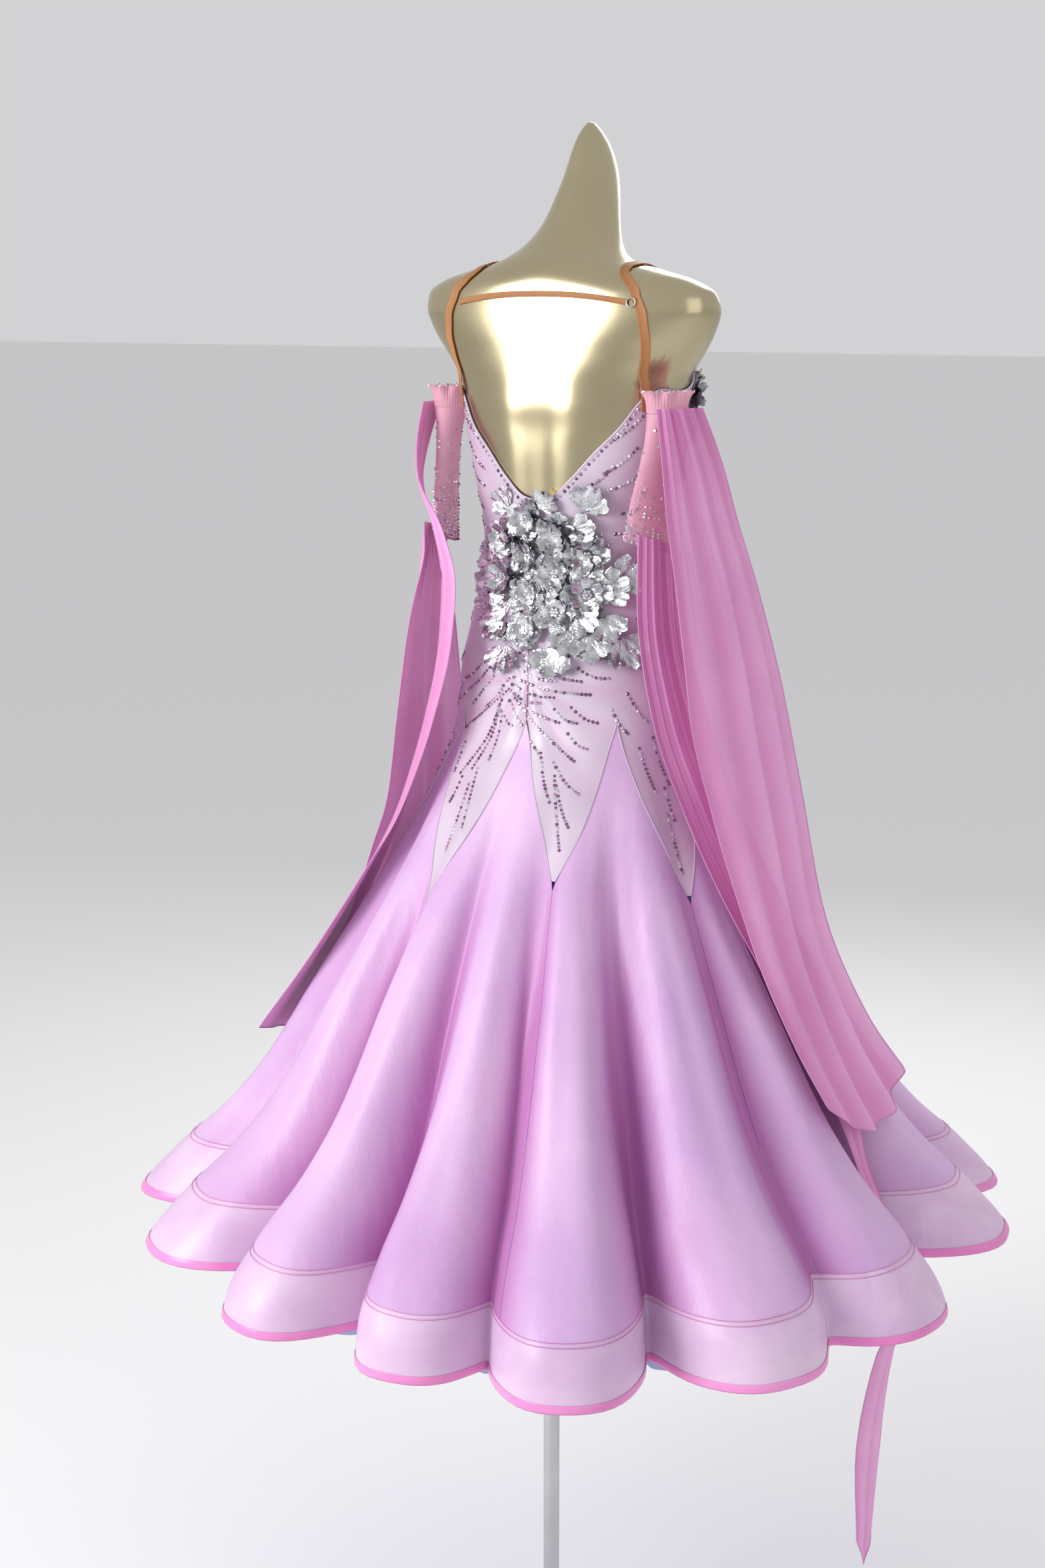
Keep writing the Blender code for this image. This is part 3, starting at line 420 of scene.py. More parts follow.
def oval(angle, width, front, back, square):
    a = np.radians(angle)
    s, c = np.sin(a), np.cos(a)
    x = width * np.sign(s) * np.abs(s) ** (2 / square)
    y = np.where(c > 0, front, back) * np.sign(c) * np.abs(c) ** (2 / square)
    return x, -y


def form_point(angle, height, out=0.0):
    """The smooth form's surface, moved out level by a distance."""
    width, front, back, forward, square = (f(height) for f in FORM_CURVES)
    x, y = oval(angle, width + out, front + out, back + out, square)
    return np.stack(np.broadcast_arrays(x, BODY_Y - forward + y, height + 0 * x), axis=-1)


def fold_at(angle):
    """Each angle's fold: share from crest to crest, spacing, reach, depth and a depth for the net."""
    angle = np.mod(angle, 360)
    i = np.searchsorted(CRESTS[:, 0], angle, side="right") - 1
    i = np.clip(i, 1, len(CRESTS) - 3)
    left, right = CRESTS[i], CRESTS[i + 1]
    spacing = right[..., 0] - left[..., 0]
    share = (angle - left[..., 0]) / spacing
    ease = smooth(share)
    reach = left[..., 1] + (right[..., 1] - left[..., 1]) * ease
    before = np.maximum(CRESTS[i - 1][..., 2], left[..., 2])
    after = np.maximum(left[..., 2], right[..., 2])
    return share, spacing, reach, left[..., 2], before + (after - before) * ease


def skirt_point(angle, height, inside=0.0):
    """The garment's inner face: on the form above the hip, and folded out to the hem below it."""
    angle, height = np.broadcast_arrays(np.asarray(angle, float), np.asarray(height, float))
    worn = form_point(angle, np.maximum(height, HIP), BODY_GAP)
    width, front, back, fold = (f(height) for f in FLARE_CURVES)
    share, spacing, reach, depth, under = fold_at(angle)
    turn = 2 * np.pi * share
    part = np.minimum(1.0, fold / FLARE[-1][4])
    hollow = ((1 - np.cos(turn)) / 2) ** VALLEY_POWER
    free = np.clip((PETTICOAT_TOP - height) / 0.10, 0.0, 1.0)
    sunk = fold * (depth * hollow + inside * (1 - PETTICOAT_FULL) * (1 - hollow) * under)
    sunk = sunk + inside * (CHIFFON + 2 * LAY + PETTICOAT_INSET * free)
    grow = 1 + (reach - 1) * part
    moved = angle + FOLD_WIDEN * spacing * np.sin(turn) * part
    x, y = oval(moved, width * grow - sunk, front * grow - sunk, back * grow - sunk, 2.0)
    free_hung = np.stack((x, BODY_Y + y, height), axis=-1)
    return np.where((height >= HIP)[..., None], worn, free_hung)


def normals(surface, u, v, du, dv):
    """The ways out of a surface that runs round with u and down with falling v."""
    along = surface(u + du, v) - surface(u - du, v)
    down = surface(u, v - dv) - surface(u, v + dv)
    n = np.cross(down, along)
    return n / np.maximum(np.linalg.norm(n, axis=-1, keepdims=True), 1e-12)


def fabric_point(angle, height, lift=0.0):
    """The outer face of the garment, moved out by a lift, and the ways out of it."""
    n = normals(skirt_point, angle, height, 0.15, 0.0008)
    return skirt_point(angle, height) + n * (CLOTH + np.asarray(lift)[..., None]), n


def raised(points):
    return np.asarray(points) + (0, 0, RAISED)


# Materials

def new_material(name):
    material = bpy.data.materials.new(name)
    material.use_nodes = True
    return material, material.node_tree, material.node_tree.nodes["Principled BSDF"]


def add_node(tree, kind, **values):
    made = tree.nodes.new(kind)
    for key, value in values.items():
        if hasattr(made, key) and key not in made.inputs:
            setattr(made, key, value)
        else:
            made.inputs[key].default_value = value
    return made


def mottled(tree, source, scale, first, second, detail=3.0, low=0.35, high=0.65):
    """A colour that drifts between two, by noise of a scale per metre."""
    noise = add_node(tree, "ShaderNodeTexNoise", Scale=scale, Detail=detail)
    tree.links.new(source, noise.inputs["Vector"])
    ramp = tree.nodes.new("ShaderNodeValToRGB")
    ramp.color_ramp.elements[0].position = low
    ramp.color_ramp.elements[1].position = high
    ramp.color_ramp.elements[0].color = (*first, 1)
    ramp.color_ramp.elements[1].color = (*second, 1)
    tree.links.new(noise.outputs["Fac"], ramp.inputs["Fac"])
    return ramp.outputs["Color"]


def mix_in_shade_and_tone(tree, colour, attribute, other, most=1.0):
    """The colour drawn towards another where the mesh's attribute is high: this paints shade, and on the
    godets also the seams' own tone.
    """
    read = tree.nodes.new("ShaderNodeAttribute")
    read.attribute_name = attribute
    scaled = add_node(tree, "ShaderNodeMath", operation="MULTIPLY")
    scaled.inputs[1].default_value = most
    tree.links.new(read.outputs["Fac"], scaled.inputs[0])
    mix = tree.nodes.new("ShaderNodeMix")
    mix.data_type = "RGBA"
    tree.links.new(scaled.outputs[0], mix.inputs["Factor"])
    tree.links.new(colour, mix.inputs[6])
    mix.inputs[7].default_value = (*other, 1)
    return mix.outputs[2]


def bumped(tree, shader, source, scale, strength, distance, stretch):
    """Fine relief from noise, stretched along the axes for threads and creases."""
    mapping = add_node(tree, "ShaderNodeMapping")
    mapping.inputs["Scale"].default_value = stretch
    tree.links.new(source, mapping.inputs["Vector"])
    noise = add_node(tree, "ShaderNodeTexNoise", Scale=scale, Detail=4.0)
    tree.links.new(mapping.outputs["Vector"], noise.inputs["Vector"])
    bump = add_node(tree, "ShaderNodeBump", Strength=strength, Distance=distance)
    tree.links.new(noise.outputs["Fac"], bump.inputs["Height"])
    tree.links.new(bump.outputs["Normal"], shader.inputs["Normal"])


def fabric(name, first, second, rough, sheen, alpha=1.0, shade_and_tone=None, shade_and_tone_most=0.8,
           scale=9.0, relief=(900.0, 0.12, 0.0004, (1, 1, 1)), specular=0.4):
    """A woven cloth: drifting colour, thread relief and sheen, and a second colour drawn in where the mesh
    asks for painted shade and tone.
    """
    material, tree, shader = new_material(name)
    place = tree.nodes.new("ShaderNodeTexCoord").outputs["Object"]
    colour = mottled(tree, place, scale, first, second)
    if shade_and_tone:
        colour = mix_in_shade_and_tone(tree, colour, "shade_and_tone", shade_and_tone, shade_and_tone_most)
    tree.links.new(colour, shader.inputs["Base Color"])
    shader.inputs["Roughness"].default_value = rough
    shader.inputs["Sheen Weight"].default_value = sheen
    shader.inputs["Sheen Roughness"].default_value = 0.35
    shader.inputs["Sheen Tint"].default_value = (*second, 1)
    shader.inputs["Specular IOR Level"].default_value = specular
    shader.inputs["Alpha"].default_value = alpha
    bumped(tree, shader, place, *relief)
    return material


def metal(name, first, second, rough, relief, scale=14.0, metallic=1.0):
    material, tree, shader = new_material(name)
    place = tree.nodes.new("ShaderNodeTexCoord").outputs["Object"]
    tree.links.new(mottled(tree, place, scale, first, second), shader.inputs["Base Color"])
    shader.inputs["Metallic"].default_value = metallic
    shader.inputs["Roughness"].default_value = rough
    bumped(tree, shader, place, *relief)
    return material


def gem(name, colour):
    """Cut glass with a foiled back: bright, hard and a little clear."""
    material, tree, shader = new_material(name)
    place = tree.nodes.new("ShaderNodeTexCoord").outputs["Object"]
    dark = tuple(c * 0.55 for c in colour)
    tree.links.new(mottled(tree, place, 700.0, dark, colour), shader.inputs["Base Color"])
    shader.inputs["Metallic"].default_value = 0.75
    shader.inputs["Roughness"].default_value = 0.08
    shader.inputs["Coat Weight"].default_value = 1.0
    return material


# The body cloth's second, darker pink is painted shade at the sides and in the hollows of the gathers.
LYCRA = fabric("body_fabric", (0.56, 0.46, 0.57), (0.65, 0.55, 0.66), 0.34, 0.10,
               shade_and_tone=(0.60, 0.28, 0.50), shade_and_tone_most=0.70, specular=0.5)
# The organza's dark pink is painted shade in the fold valleys and the real tone at the seams.
ORGANZA = fabric("godet_organza", (0.60, 0.38, 0.66), (0.71, 0.48, 0.73), 0.40, 0.12,
                 shade_and_tone=(0.44, 0.11, 0.38), shade_and_tone_most=0.85, scale=5.0,
                 relief=(60.0, 0.25, 0.004, (1, 1, 0.12)))
HORSEHAIR = fabric("hem_horsehair", (0.64, 0.43, 0.65), (0.74, 0.54, 0.73), 0.36, 0.15, alpha=0.96,
                   relief=(700.0, 0.25, 0.0006, (1, 1, 0.3)))
BINDING = fabric("hem_binding", (0.78, 0.22, 0.54), (0.82, 0.30, 0.62), 0.30, 0.12)
THREAD = fabric("seam_thread", (0.56, 0.22, 0.46), (0.66, 0.30, 0.54), 0.6, 0.1)
NET = fabric("petticoat_net", (0.24, 0.28, 0.68), (0.34, 0.36, 0.76), 0.7, 0.1, alpha=0.80)
SLEEVE = fabric("sleeve_net", (0.78, 0.36, 0.48), (0.84, 0.46, 0.58), 0.6, 0.15, alpha=0.72)
# The chiffon's dark pink is painted shade in the valleys of its folds; it also darkens the floats' tops.
CHIFFON_PINK = fabric("float_chiffon", (0.74, 0.30, 0.60), (0.84, 0.40, 0.70), 0.48, 0.15, alpha=0.94,
                      shade_and_tone=(0.62, 0.14, 0.40), shade_and_tone_most=0.8, scale=6.0,
                      relief=(70.0, 0.2, 0.003, (1, 1, 0.10)))
ELASTIC = fabric("strap_elastic", (0.36, 0.155, 0.055), (0.45, 0.20, 0.075), 0.50, 0.1,
                 relief=(1500.0, 0.4, 0.0006, (1, 1, 1)))
SILVER = metal("flower_foil", (0.36, 0.37, 0.39), (0.82, 0.83, 0.85), 0.20,
               (420.0, 0.5, 0.0012, (1, 1, 1)), scale=60.0)
GOLD = metal("form_finish", (0.48, 0.41, 0.26), (0.54, 0.47, 0.30), 0.22,
             (25.0, 0.05, 0.002, (1, 1, 1)), scale=3.0, metallic=0.95)
STEEL = metal("stand_steel", (0.55, 0.55, 0.55), (0.62, 0.62, 0.62), 0.25,
              (500.0, 0.15, 0.0005, (1, 1, 0.02)))
CLEAR_STONE = gem("stone_clear", (0.92, 0.90, 0.97))
PINK_STONE = gem("stone_pink", (0.70, 0.44, 0.66))
DARK_STONE = gem("stone_dark", (0.30, 0.16, 0.28))


# Meshes

def finish_piece(name, mesh, material):
    mesh.materials.append(material)
    mesh.shade_smooth()
    made = bpy.data.objects.new(name, mesh)
    bpy.context.scene.collection.objects.link(made)
    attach(made, "root")
    return made


def grid_piece(name, patches, material, shade_and_tone_maps=None, closed=False):
    """One mesh from grids of points, welded where they meet, with a value for each point that sets how far
    its colour is drawn to painted shade and tone.
    """
    points, faces, shades = [], [], []
    for k, patch in enumerate(patches):
        rows, columns = patch.shape[:2]
        first = len(points)
        points.extend(map(tuple, patch.reshape(-1, 3)))
        shade = shade_and_tone_maps[k] if shade_and_tone_maps is not None else np.zeros((rows, columns))
        shades.extend(np.broadcast_to(shade, (rows, columns)).reshape(-1))
        for i in range(rows - 1):
            for j in range(columns - 1):
                a = first + i * columns + j
                faces.append((a, a + columns, a + columns + 1, a + 1))
    mesh = bpy.data.meshes.new(name)
    mesh.from_pydata(points, [], faces)
    layer = mesh.attributes.new("shade_and_tone", "FLOAT", "POINT")
    layer.data.foreach_set("value", np.asarray(shades, dtype=np.float32))
    if closed or len(patches) > 1:
        shape = bmesh.new()
        shape.from_mesh(mesh)
        bmesh.ops.remove_doubles(shape, verts=shape.verts, dist=0.00002)
        shape.to_mesh(mesh)
        shape.free()
    return finish_piece(name, mesh, material)


def tube(name, path, radius, material, closed=False, sides=8):
    """A round cord of mesh along a path."""
    path = np.asarray(path, float)
    if closed:
        ahead, behind = np.roll(path, -1, axis=0), np.roll(path, 1, axis=0)
    else:
        ahead = np.vstack((path[1:], path[-1:]))
        behind = np.vstack((path[:1], path[:-1]))
    run = ahead - behind
    run /= np.maximum(np.linalg.norm(run, axis=1, keepdims=True), 1e-12)
    side = np.cross(run, (0.03, 0.02, 1.0))
    side /= np.maximum(np.linalg.norm(side, axis=1, keepdims=True), 1e-12)
    up = np.cross(side, run)
    points, faces = [], []
    for k in range(len(path)):
        for j in range(sides):
            a = 2 * math.pi * j / sides
            points.append(tuple(path[k] + (side[k] * math.cos(a) + up[k] * math.sin(a)) * radius))
    for k in range(len(path) if closed else len(path) - 1):
        n = (k + 1) % len(path)
        for j in range(sides):
            m = (j + 1) % sides
            faces.append((k * sides + j, k * sides + m, n * sides + m, n * sides + j))
    if not closed:
        faces.append(tuple(reversed(range(sides))))
        last = (len(path) - 1) * sides
        faces.append(tuple(last + j for j in range(sides)))
    mesh = bpy.data.meshes.new(name)
    mesh.from_pydata(points, [], faces)
    return finish_piece(name, mesh, material)


def stones(name, places, material, sides=8):
    """Cut stones set flat at (point, way out, radius), all in one mesh."""
    points, faces = [], []
    for number, (point, out, radius) in enumerate(places):
        point, out = np.asarray(point), np.asarray(out)
        side = np.cross(out, (0.2, 0.1, 1.0))
        side /= np.linalg.norm(side)
        up = np.cross(out, side)
        first = len(points)
        for share, rise in ((1.0, 0.0), (0.96, 0.18), (0.55, 0.52)):
            for j in range(sides):
                a = 2 * math.pi * (j + 0.37 * number) / sides
                flat = side * math.cos(a) + up * math.sin(a)
                points.append(tuple(point + flat * radius * share + out * radius * rise))
        for ring in (0, 1):
            for j in range(sides):
                m = (j + 1) % sides
                low = first + ring * sides
                faces.append((low + j, low + m, low + sides + m, low + sides + j))
        faces.append(tuple(first + 2 * sides + j for j in range(sides)))
    mesh = bpy.data.meshes.new(name)
    mesh.from_pydata(points, [], faces)
    made = finish_piece(name, mesh, material)
    made.data.shade_flat()
    return made


def node_shift(node, points):
    """How far a CAD node lies from where its surface's points were worked out."""
    low, high = (np.array(corner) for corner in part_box(node))
    flat = points.reshape(-1, 3)
    return (low + high) / 2 - (flat.min(axis=0) + flat.max(axis=0)) / 2


# The form and its stand

def dress_form():
    angles = np.arange(0, 361, 3.0)
    heights = np.concatenate((np.linspace(1.06, 1.64, 90), np.linspace(1.645, 1.85, 60)))
    a, h = np.meshgrid(angles, heights)
    points = form_point(a, h)
    away = (a - 180) / SPINE_WIDTH
    rise = np.clip((h - SPINE_LOW) / (SPINE_HIGH - SPINE_LOW), 0, 1)
    points[..., 1] -= SPINE_DEPTH * np.exp(-away * away) * np.sin(np.pi * rise) ** 0.6
    low = np.broadcast_to(points[0].mean(axis=0), points[:1].shape)
    high = np.broadcast_to(points[-1].mean(axis=0) + (0, 0, 0.0015), points[:1].shape)
    points = np.concatenate((low, points, high))[::-1]
    made = grid_piece("form_shell", [raised(points)], GOLD, closed=True)
    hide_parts("form_torso")


def stand():
    for node in ("stand_pole", "stand_base"):
        nodes[node].data.materials.clear()
        nodes[node].data.materials.append(STEEL)


# The dress

def body_painted_shade(angle, height):
    """Painted shade: pinker and darker at the sides, where the floats hang, and in the hollows of the
    gathers.
    """
    side = np.abs(np.sin(np.radians(angle)))
    gather_hollow_shade = np.maximum(0.0, -ruching(angle, height)) / RUCHING_RISE
    return np.clip(0.45 * side**3 + 0.45 * gather_hollow_shade, 0, 1)


def body_panel(node, first_gore, gores):
    start = first_gore * GORE_ANGLE
    end = start + gores * GORE_ANGLE
    angles = np.linspace(start, end, int((end - start) / 1.5) + 1)
    a, v = np.meshgrid(angles, np.linspace(0, 1, 60))
    top = NECK_CURVE(np.abs(np.mod(a, 360) - 180))
    h = top + (GODET_TOP - top) * v
    inset = np.clip((a - (start + end) / 2) / ((end - start) / 2), -1, 1)
    a = a - inset**9 * 0.15
    patches = [fabric_point(a, h, ruching(a, h))[0]]
    shade_and_tone_maps = [body_painted_shade(a, h)]
    per_gore = int(GORE_ANGLE / 1.5)
    for gore in range(first_gore, first_gore + gores):
        middle = (gore + 0.5) * GORE_ANGLE
        drop = GODET_TOP - POINT_ENDS[gore % GORES]
        across, share = np.meshgrid(np.linspace(-1, 1, per_gore + 1), np.linspace(0, 1, 26))
        half = GORE_ANGLE / 2 * (1 - share * (1 - POINT_TIP))
        a = middle + across * (half - 0.12 * (share > 0))
        a = np.where(share > 0, a, middle + across * (half))
        h = GODET_TOP - drop * share
        inset = np.clip((a - (start + end) / 2) / ((end - start) / 2), -1, 1)
        a = a - inset**9 * 0.15
        patches.append(fabric_point(a, h, ruching(a, h))[0])
        shade_and_tone_maps.append(body_painted_shade(a, h))
    patches = [raised(patch) for patch in patches]
    made = grid_piece(node + "_cloth", patches, LYCRA, shade_and_tone_maps)
    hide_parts(node)
    return made


def ruching(angle, height):
    """Small gathers that fan out from the centre back seam under the flowers."""
    across = (np.mod(angle, 360) - 180) / 180 * math.pi * 0.12
    up = height - RUCHING[1]
    away = np.hypot(across, up * 0.9)
    turn = np.arctan2(up, np.abs(across) + 1e-6)
    near = np.exp(-((away - 0.02) / 0.095) ** 2) * smooth(away / 0.012)
    return RUCHING_RISE * near * np.sin(turn * GATHERS) * smooth((RUCHING_REACH - away) / 0.08)


def hem_height(angle):
    side = (1 - np.cos(2 * np.radians(angle - VIEW_ANGLE))) / 2
    return HEM + HEM_RISE * side


def band_top(angle):
    return hem_height(angle) + HEM_BAND


def skirt_ripple(angle, height):
    """Soft creases of the organza between the big folds, growing towards the hem."""
    low = smooth((1.06 - height) / 0.35) * (0.45 + 0.55 * smooth((height - band_top(angle)) / 0.10))
    a = np.radians(angle)
    wave = (
        0.50 * np.sin(23 * a + 5.0 * height + 1.3)
        + 0.35 * np.sin(41 * a - 9.0 * height + 0.4)
        + 0.25 * np.sin(67 * a + 6.0 * height + 2.1)
        + 0.20 * np.sin(13 * a + 17.0 * height)
    )
    return 0.0042 * low * wave


def skirt_shade_and_tone(angle, height):
    """Pinker in the valleys, where the organza lies in more layers, and darker there as painted shade,
    most towards the hem; pinker too at the godets' seams.
    """
    share, *_ = fold_at(angle)
    # Painted shade in the valleys, strongest towards the hem; the seams' pink and the drift are the
    # cloth's own tone.
    valley = ((1 - np.cos(2 * np.pi * share)) / 2) ** 1.5
    deep = smooth((1.05 - height) / 0.3)
    seam = np.abs(np.mod(angle, GORE_ANGLE) - GORE_ANGLE / 2)
    near_seam = np.exp(-((seam) / 2.2) ** 2)
    drift = 0.5 + 0.5 * np.sin(np.radians(angle) * 9 + height * 7)
    return np.clip(0.90 * valley * deep + 0.30 * near_seam + 0.10 * drift, 0, 1)


def skirt_cloth(angle, height):
    n = normals(skirt_point, angle, height, 0.2, 0.001)
    return skirt_point(angle, height) + n * (CHIFFON + skirt_ripple(angle, height))[..., None]


def godet(number):
    middle = number * GORE_ANGLE
    ends = POINT_ENDS[(number - 1) % GORES], POINT_ENDS[number % GORES]
    across = np.linspace(-1, 1, 49)
    lean = (across + 1) / 2
    end = ends[0] + (ends[1] - ends[0]) * lean
    slit = GORE_ANGLE / 2 * (1 - POINT_TIP)
    rows_a, rows_h = [], []
    for share in np.linspace(GODET_CLOTH_START, 1, 16):
        rows_a.append(middle + across * (slit * share - 0.10))
        rows_h.append(GODET_TOP - (GODET_TOP - end) * share)
    for share in np.linspace(0, 1, 44)[1:]:
        half = slit + (GORE_ANGLE / 2 - slit) * min(1.0, share / 0.010) - 0.05
        a = middle + across * half
        rows_a.append(a)
        rows_h.append(end + (band_top(a) + SEAM - end) * share)
    a, h = np.array(rows_a), np.array(rows_h)
    points = skirt_cloth(a, h)
    name = f"godet_{number + 1}"
    made = grid_piece(name + "_cloth", [raised(points)], ORGANZA, [skirt_shade_and_tone(a, h)])
    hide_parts(name)
    return made


def hem_band():
    angles = np.linspace(0, 360, 385)
    a, share = np.meshgrid(angles, np.linspace(0, 1, 10))
    h = band_top(a) - SEAM - (HEM_BAND - SEAM) * share
    points = raised(skirt_cloth(a, h))
    band = grid_piece("hem_band_cloth", [points], HORSEHAIR, closed=True)
    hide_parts("hem_band")
    a = angles[:-1]
    low = hem_height(a)
    rows = []
    for rise, off in ((0.009, 0.0006), (0.006, 0.0012), (0.001, 0.0012), (-0.0010, 0.0),
                      (0.001, -0.0016), (0.009, -0.0012)):
        n = normals(skirt_point, a, low + rise, 0.2, 0.001)
        rows.append(skirt_cloth(a, low + rise) + n * off)
    rows = np.array(rows)
    rows = np.concatenate((rows, rows[:, :1]), axis=1)
    edge = grid_piece("hem_ribbon", [raised(rows)], BINDING, closed=True)
    for k, drop in enumerate((0.0, 0.0045)):
        line = skirt_cloth(a, band_top(a) - drop)
        n = normals(skirt_point, a, band_top(a) - drop, 0.2, 0.001)
        path = raised(line + n * 0.0004)
        tube(f"hem_stitch_{k + 1}", path, 0.0006, THREAD, closed=True, sides=5)


def petticoat():
    a, share = np.meshgrid(np.linspace(0, 360, 361), np.linspace(0, 1, 30))
    low = hem_height(a) - PETTICOAT_DROP
    h = PETTICOAT_TOP + (low - PETTICOAT_TOP) * share

    def surface(u, v):
        return skirt_point(u, v, inside=1.0)

    n = normals(surface, a, h, 0.2, 0.001)
    wave = 0.004 * smooth((share - 0.5) / 0.5) * np.sin(np.radians(a) * 75 + 3 * np.sin(np.radians(a) * 7))
    points = surface(a, h) + n * wave[..., None]
    points = raised(points)
    made = grid_piece("petticoat_net_cloth", [points], NET, closed=True)
    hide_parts("petticoat")


# The sleeves

def sleeve_axes(side):
    turn = math.radians(SLEEVE_ANGLES[side])
    away = np.array((math.sin(turn), -math.cos(turn), 0))
    along = np.array((math.cos(turn), math.sin(turn), 0))
    return away, along


def node_middle(node):
    low, high = (np.array(corner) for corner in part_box(node))
    return (low + high) / 2


def armband(side):
    away, along = sleeve_axes(side)
    middle = node_middle("armband_" + side)
    a = np.linspace(0, 2 * np.pi, 145)[:, None]
    rows = []
    for share in np.linspace(0, 1, 9):
        height = (BAND_HIGH - BAND_LOW) * (0.5 - share)
        flare = BAND_FRILL * (1 - share) ** 3
        gather = 0.0009 * np.sin(a * 42) * (1 - 0.5 * share)
        ruffle = flare * (0.6 + np.cos(9 * a)) + gather
        place = along * np.cos(a) * (BAND_HALF_WIDTH + CHIFFON + ruffle)
        place = place + away * np.sin(a) * (BAND_HALF_DEPTH + CHIFFON + ruffle)
        rows.append(middle + place + (0, 0, height))
    rows = np.array(rows)
    made = grid_piece(f"armband_{side}_cloth", [rows], SLEEVE, closed=True)
    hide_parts("armband_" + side)
    edge = rows[0][:-1]
    places = [(p, (p - middle) / np.linalg.norm(p - middle), 0.0016) for p in edge[::6]]
    set_stones = stones(f"armband_{side}_stones", places, CLEAR_STONE)


def gauntlet_rings(side, count, rows):
    """Rings of the gauntlet from the armband down, each swung back a little round the body."""
    sign = 1 if side == "r" else -1
    away, along = sleeve_axes(side)
    table = [(height, turn, width, depth) for height, turn, width, depth in GAUNTLET]
    turn_at, width_at, depth_at = (curve(table, c) for c in (1, 2, 3))
    pivot = np.array((0, BODY_Y, 0))
    middle = node_middle("armband_" + side)
    a = np.linspace(0, 2 * np.pi, count)[:, None]
    rings = []
    for height in np.linspace(GAUNTLET[0][0], GAUNTLET[-1][0], rows):
        turn = math.radians(float(turn_at(height)) * sign)
        c, s = math.cos(turn), math.sin(turn)
        swing = np.array(((c, -s, 0), (s, c, 0), (0, 0, 1)))
        centre = swing @ (middle - pivot) + pivot
        share = (height - GAUNTLET[0][0]) / (GAUNTLET[-1][0] - GAUNTLET[0][0])
        slant = GAUNTLET_SLANT * share**2 * (1 + np.cos(a) * sign) / 2
        width, depth = float(width_at(height)) + CHIFFON, float(depth_at(height)) + CHIFFON
        place = (swing @ along) * np.cos(a) * width + (swing @ away) * np.sin(a) * depth
        ring = centre + place
        ring[:, 2] = (height + RAISED - slant[:, 0])
        rings.append(ring)
    return np.array(rings)


def gauntlet(side):
    rings = gauntlet_rings(side, 97, 40)
    made = grid_piece(f"gauntlet_{side}_cloth", [rings], SLEEVE, closed=True)
    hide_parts("gauntlet_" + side)
    random = np.random.default_rng(11 if side == "r" else 12)
    middle = rings.mean(axis=1)
    places = {"clear": [], "dark": []}
    for i in range(4, len(rings)):
        dense = 0.03 + 0.80 * (i / (len(rings) - 1)) ** 4.0
        for j in range(0, rings.shape[1] - 1, 3):
            if random.random() < dense:
                p = rings[i, j]
                out = p - middle[i]
                out[2] = 0
                out /= np.linalg.norm(out)
                kind = "clear" if random.random() < 0.6 else "dark"
                places[kind].append((p + out * 0.0002, out, random.uniform(0.0014, 0.0024)))
    trims = [
        stones(f"gauntlet_{side}_clear_stones", places["clear"], CLEAR_STONE, sides=6),
        stones(f"gauntlet_{side}_dark_stones", places["dark"], PINK_STONE, sides=6),
        tube(f"gauntlet_{side}_hem", rings[-1][:-1], 0.0009, THREAD, closed=True, sides=6),
    ]


def float_surface(plan):
    rows = plan["rows"]
    last = len(rows) - 1
    table = [(k / last, *row) for k, row in enumerate(rows)]
    height_at, distance_at, first_at, second_at = (curve(table, c) for c in (1, 2, 3, 4))
    drop = plan["drop"]
    drop_at = curve([(k / (len(drop) - 1), fall) for k, fall in enumerate(drop)], 1)

    def surface(across, down, fine=1.0):
        height = height_at(down)
        free = np.maximum(0.0, (down - 0.6) / 0.4) ** 1.5
        start = plan["slant"][0] * (1 - across) + plan["slant"][1] * across
        height = height - drop_at(across) * free - start * np.maximum(0.0, 1 - 5 * down)
        first, second = first_at(down), second_at(down)
        drift = 0.030 * np.sin(4.2 * down + 3 * across) * np.sin(np.pi * across)
        angle = first + (second - first) * (across + drift * fine)
        shallow, deep = plan["depth"]
        fold = (shallow + (deep - shallow) * down) * (1 - np.cos(2 * np.pi * plan["folds"] * across)) / 2
        bent = across + 0.05 * np.sin(2 * np.pi * across + 2.6 * down)
        fine_turn = 2 * np.pi * plan["pleats"]
        gather = np.sin(fine_turn * bent) + 0.5 * np.sin(fine_turn * 2.3 * bent)
        gather = 0.7 * gather * (1 - smooth(down / GATHER_REACH))
        broad = np.sin(2 * np.pi * (plan["folds"] * 0.5 + 0.8) * bent + 1.3 + 1.6 * down)
        pleat = plan["pleat"] * (1.2 + gather + 1.1 * broad * smooth(down / BROAD_FROM))
        reach = distance_at(down) + fold + fine * pleat
        x, y = oval(angle, reach, reach, reach, 2.0)
        return np.stack((x, BODY_Y + y, height), axis=-1)

    return surface


def float_piece(node):
    plan = FLOATS[node]
    surface = float_surface(plan)
    a, d = np.meshgrid(np.linspace(0, 1, 121), np.linspace(0, 1, 110))
    coarse = raised(surface(a, d, fine=0.0))
    shift = node_shift(node, coarse)
    points = raised(surface(a, d)) + shift
    # Painted shade in the valleys between the broad folds; the colour is also darker towards the float's
    # top.
    across = 0.5 - 0.5 * np.cos(2 * np.pi * plan["folds"] * a)
    shade_and_tone = 0.55 * (1 - across) + 0.25 * smooth((0.25 - d) / 0.25)
    made = grid_piece(node + "_cloth", [points], CHIFFON_PINK, [shade_and_tone])
    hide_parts(node)
    edge = np.concatenate((points[:, 0], points[-1, 1:], points[::-1, -1][1:]))
    trim = tube(node + "_edge", edge[::2], 0.0008, THREAD, sides=5)


# The straps

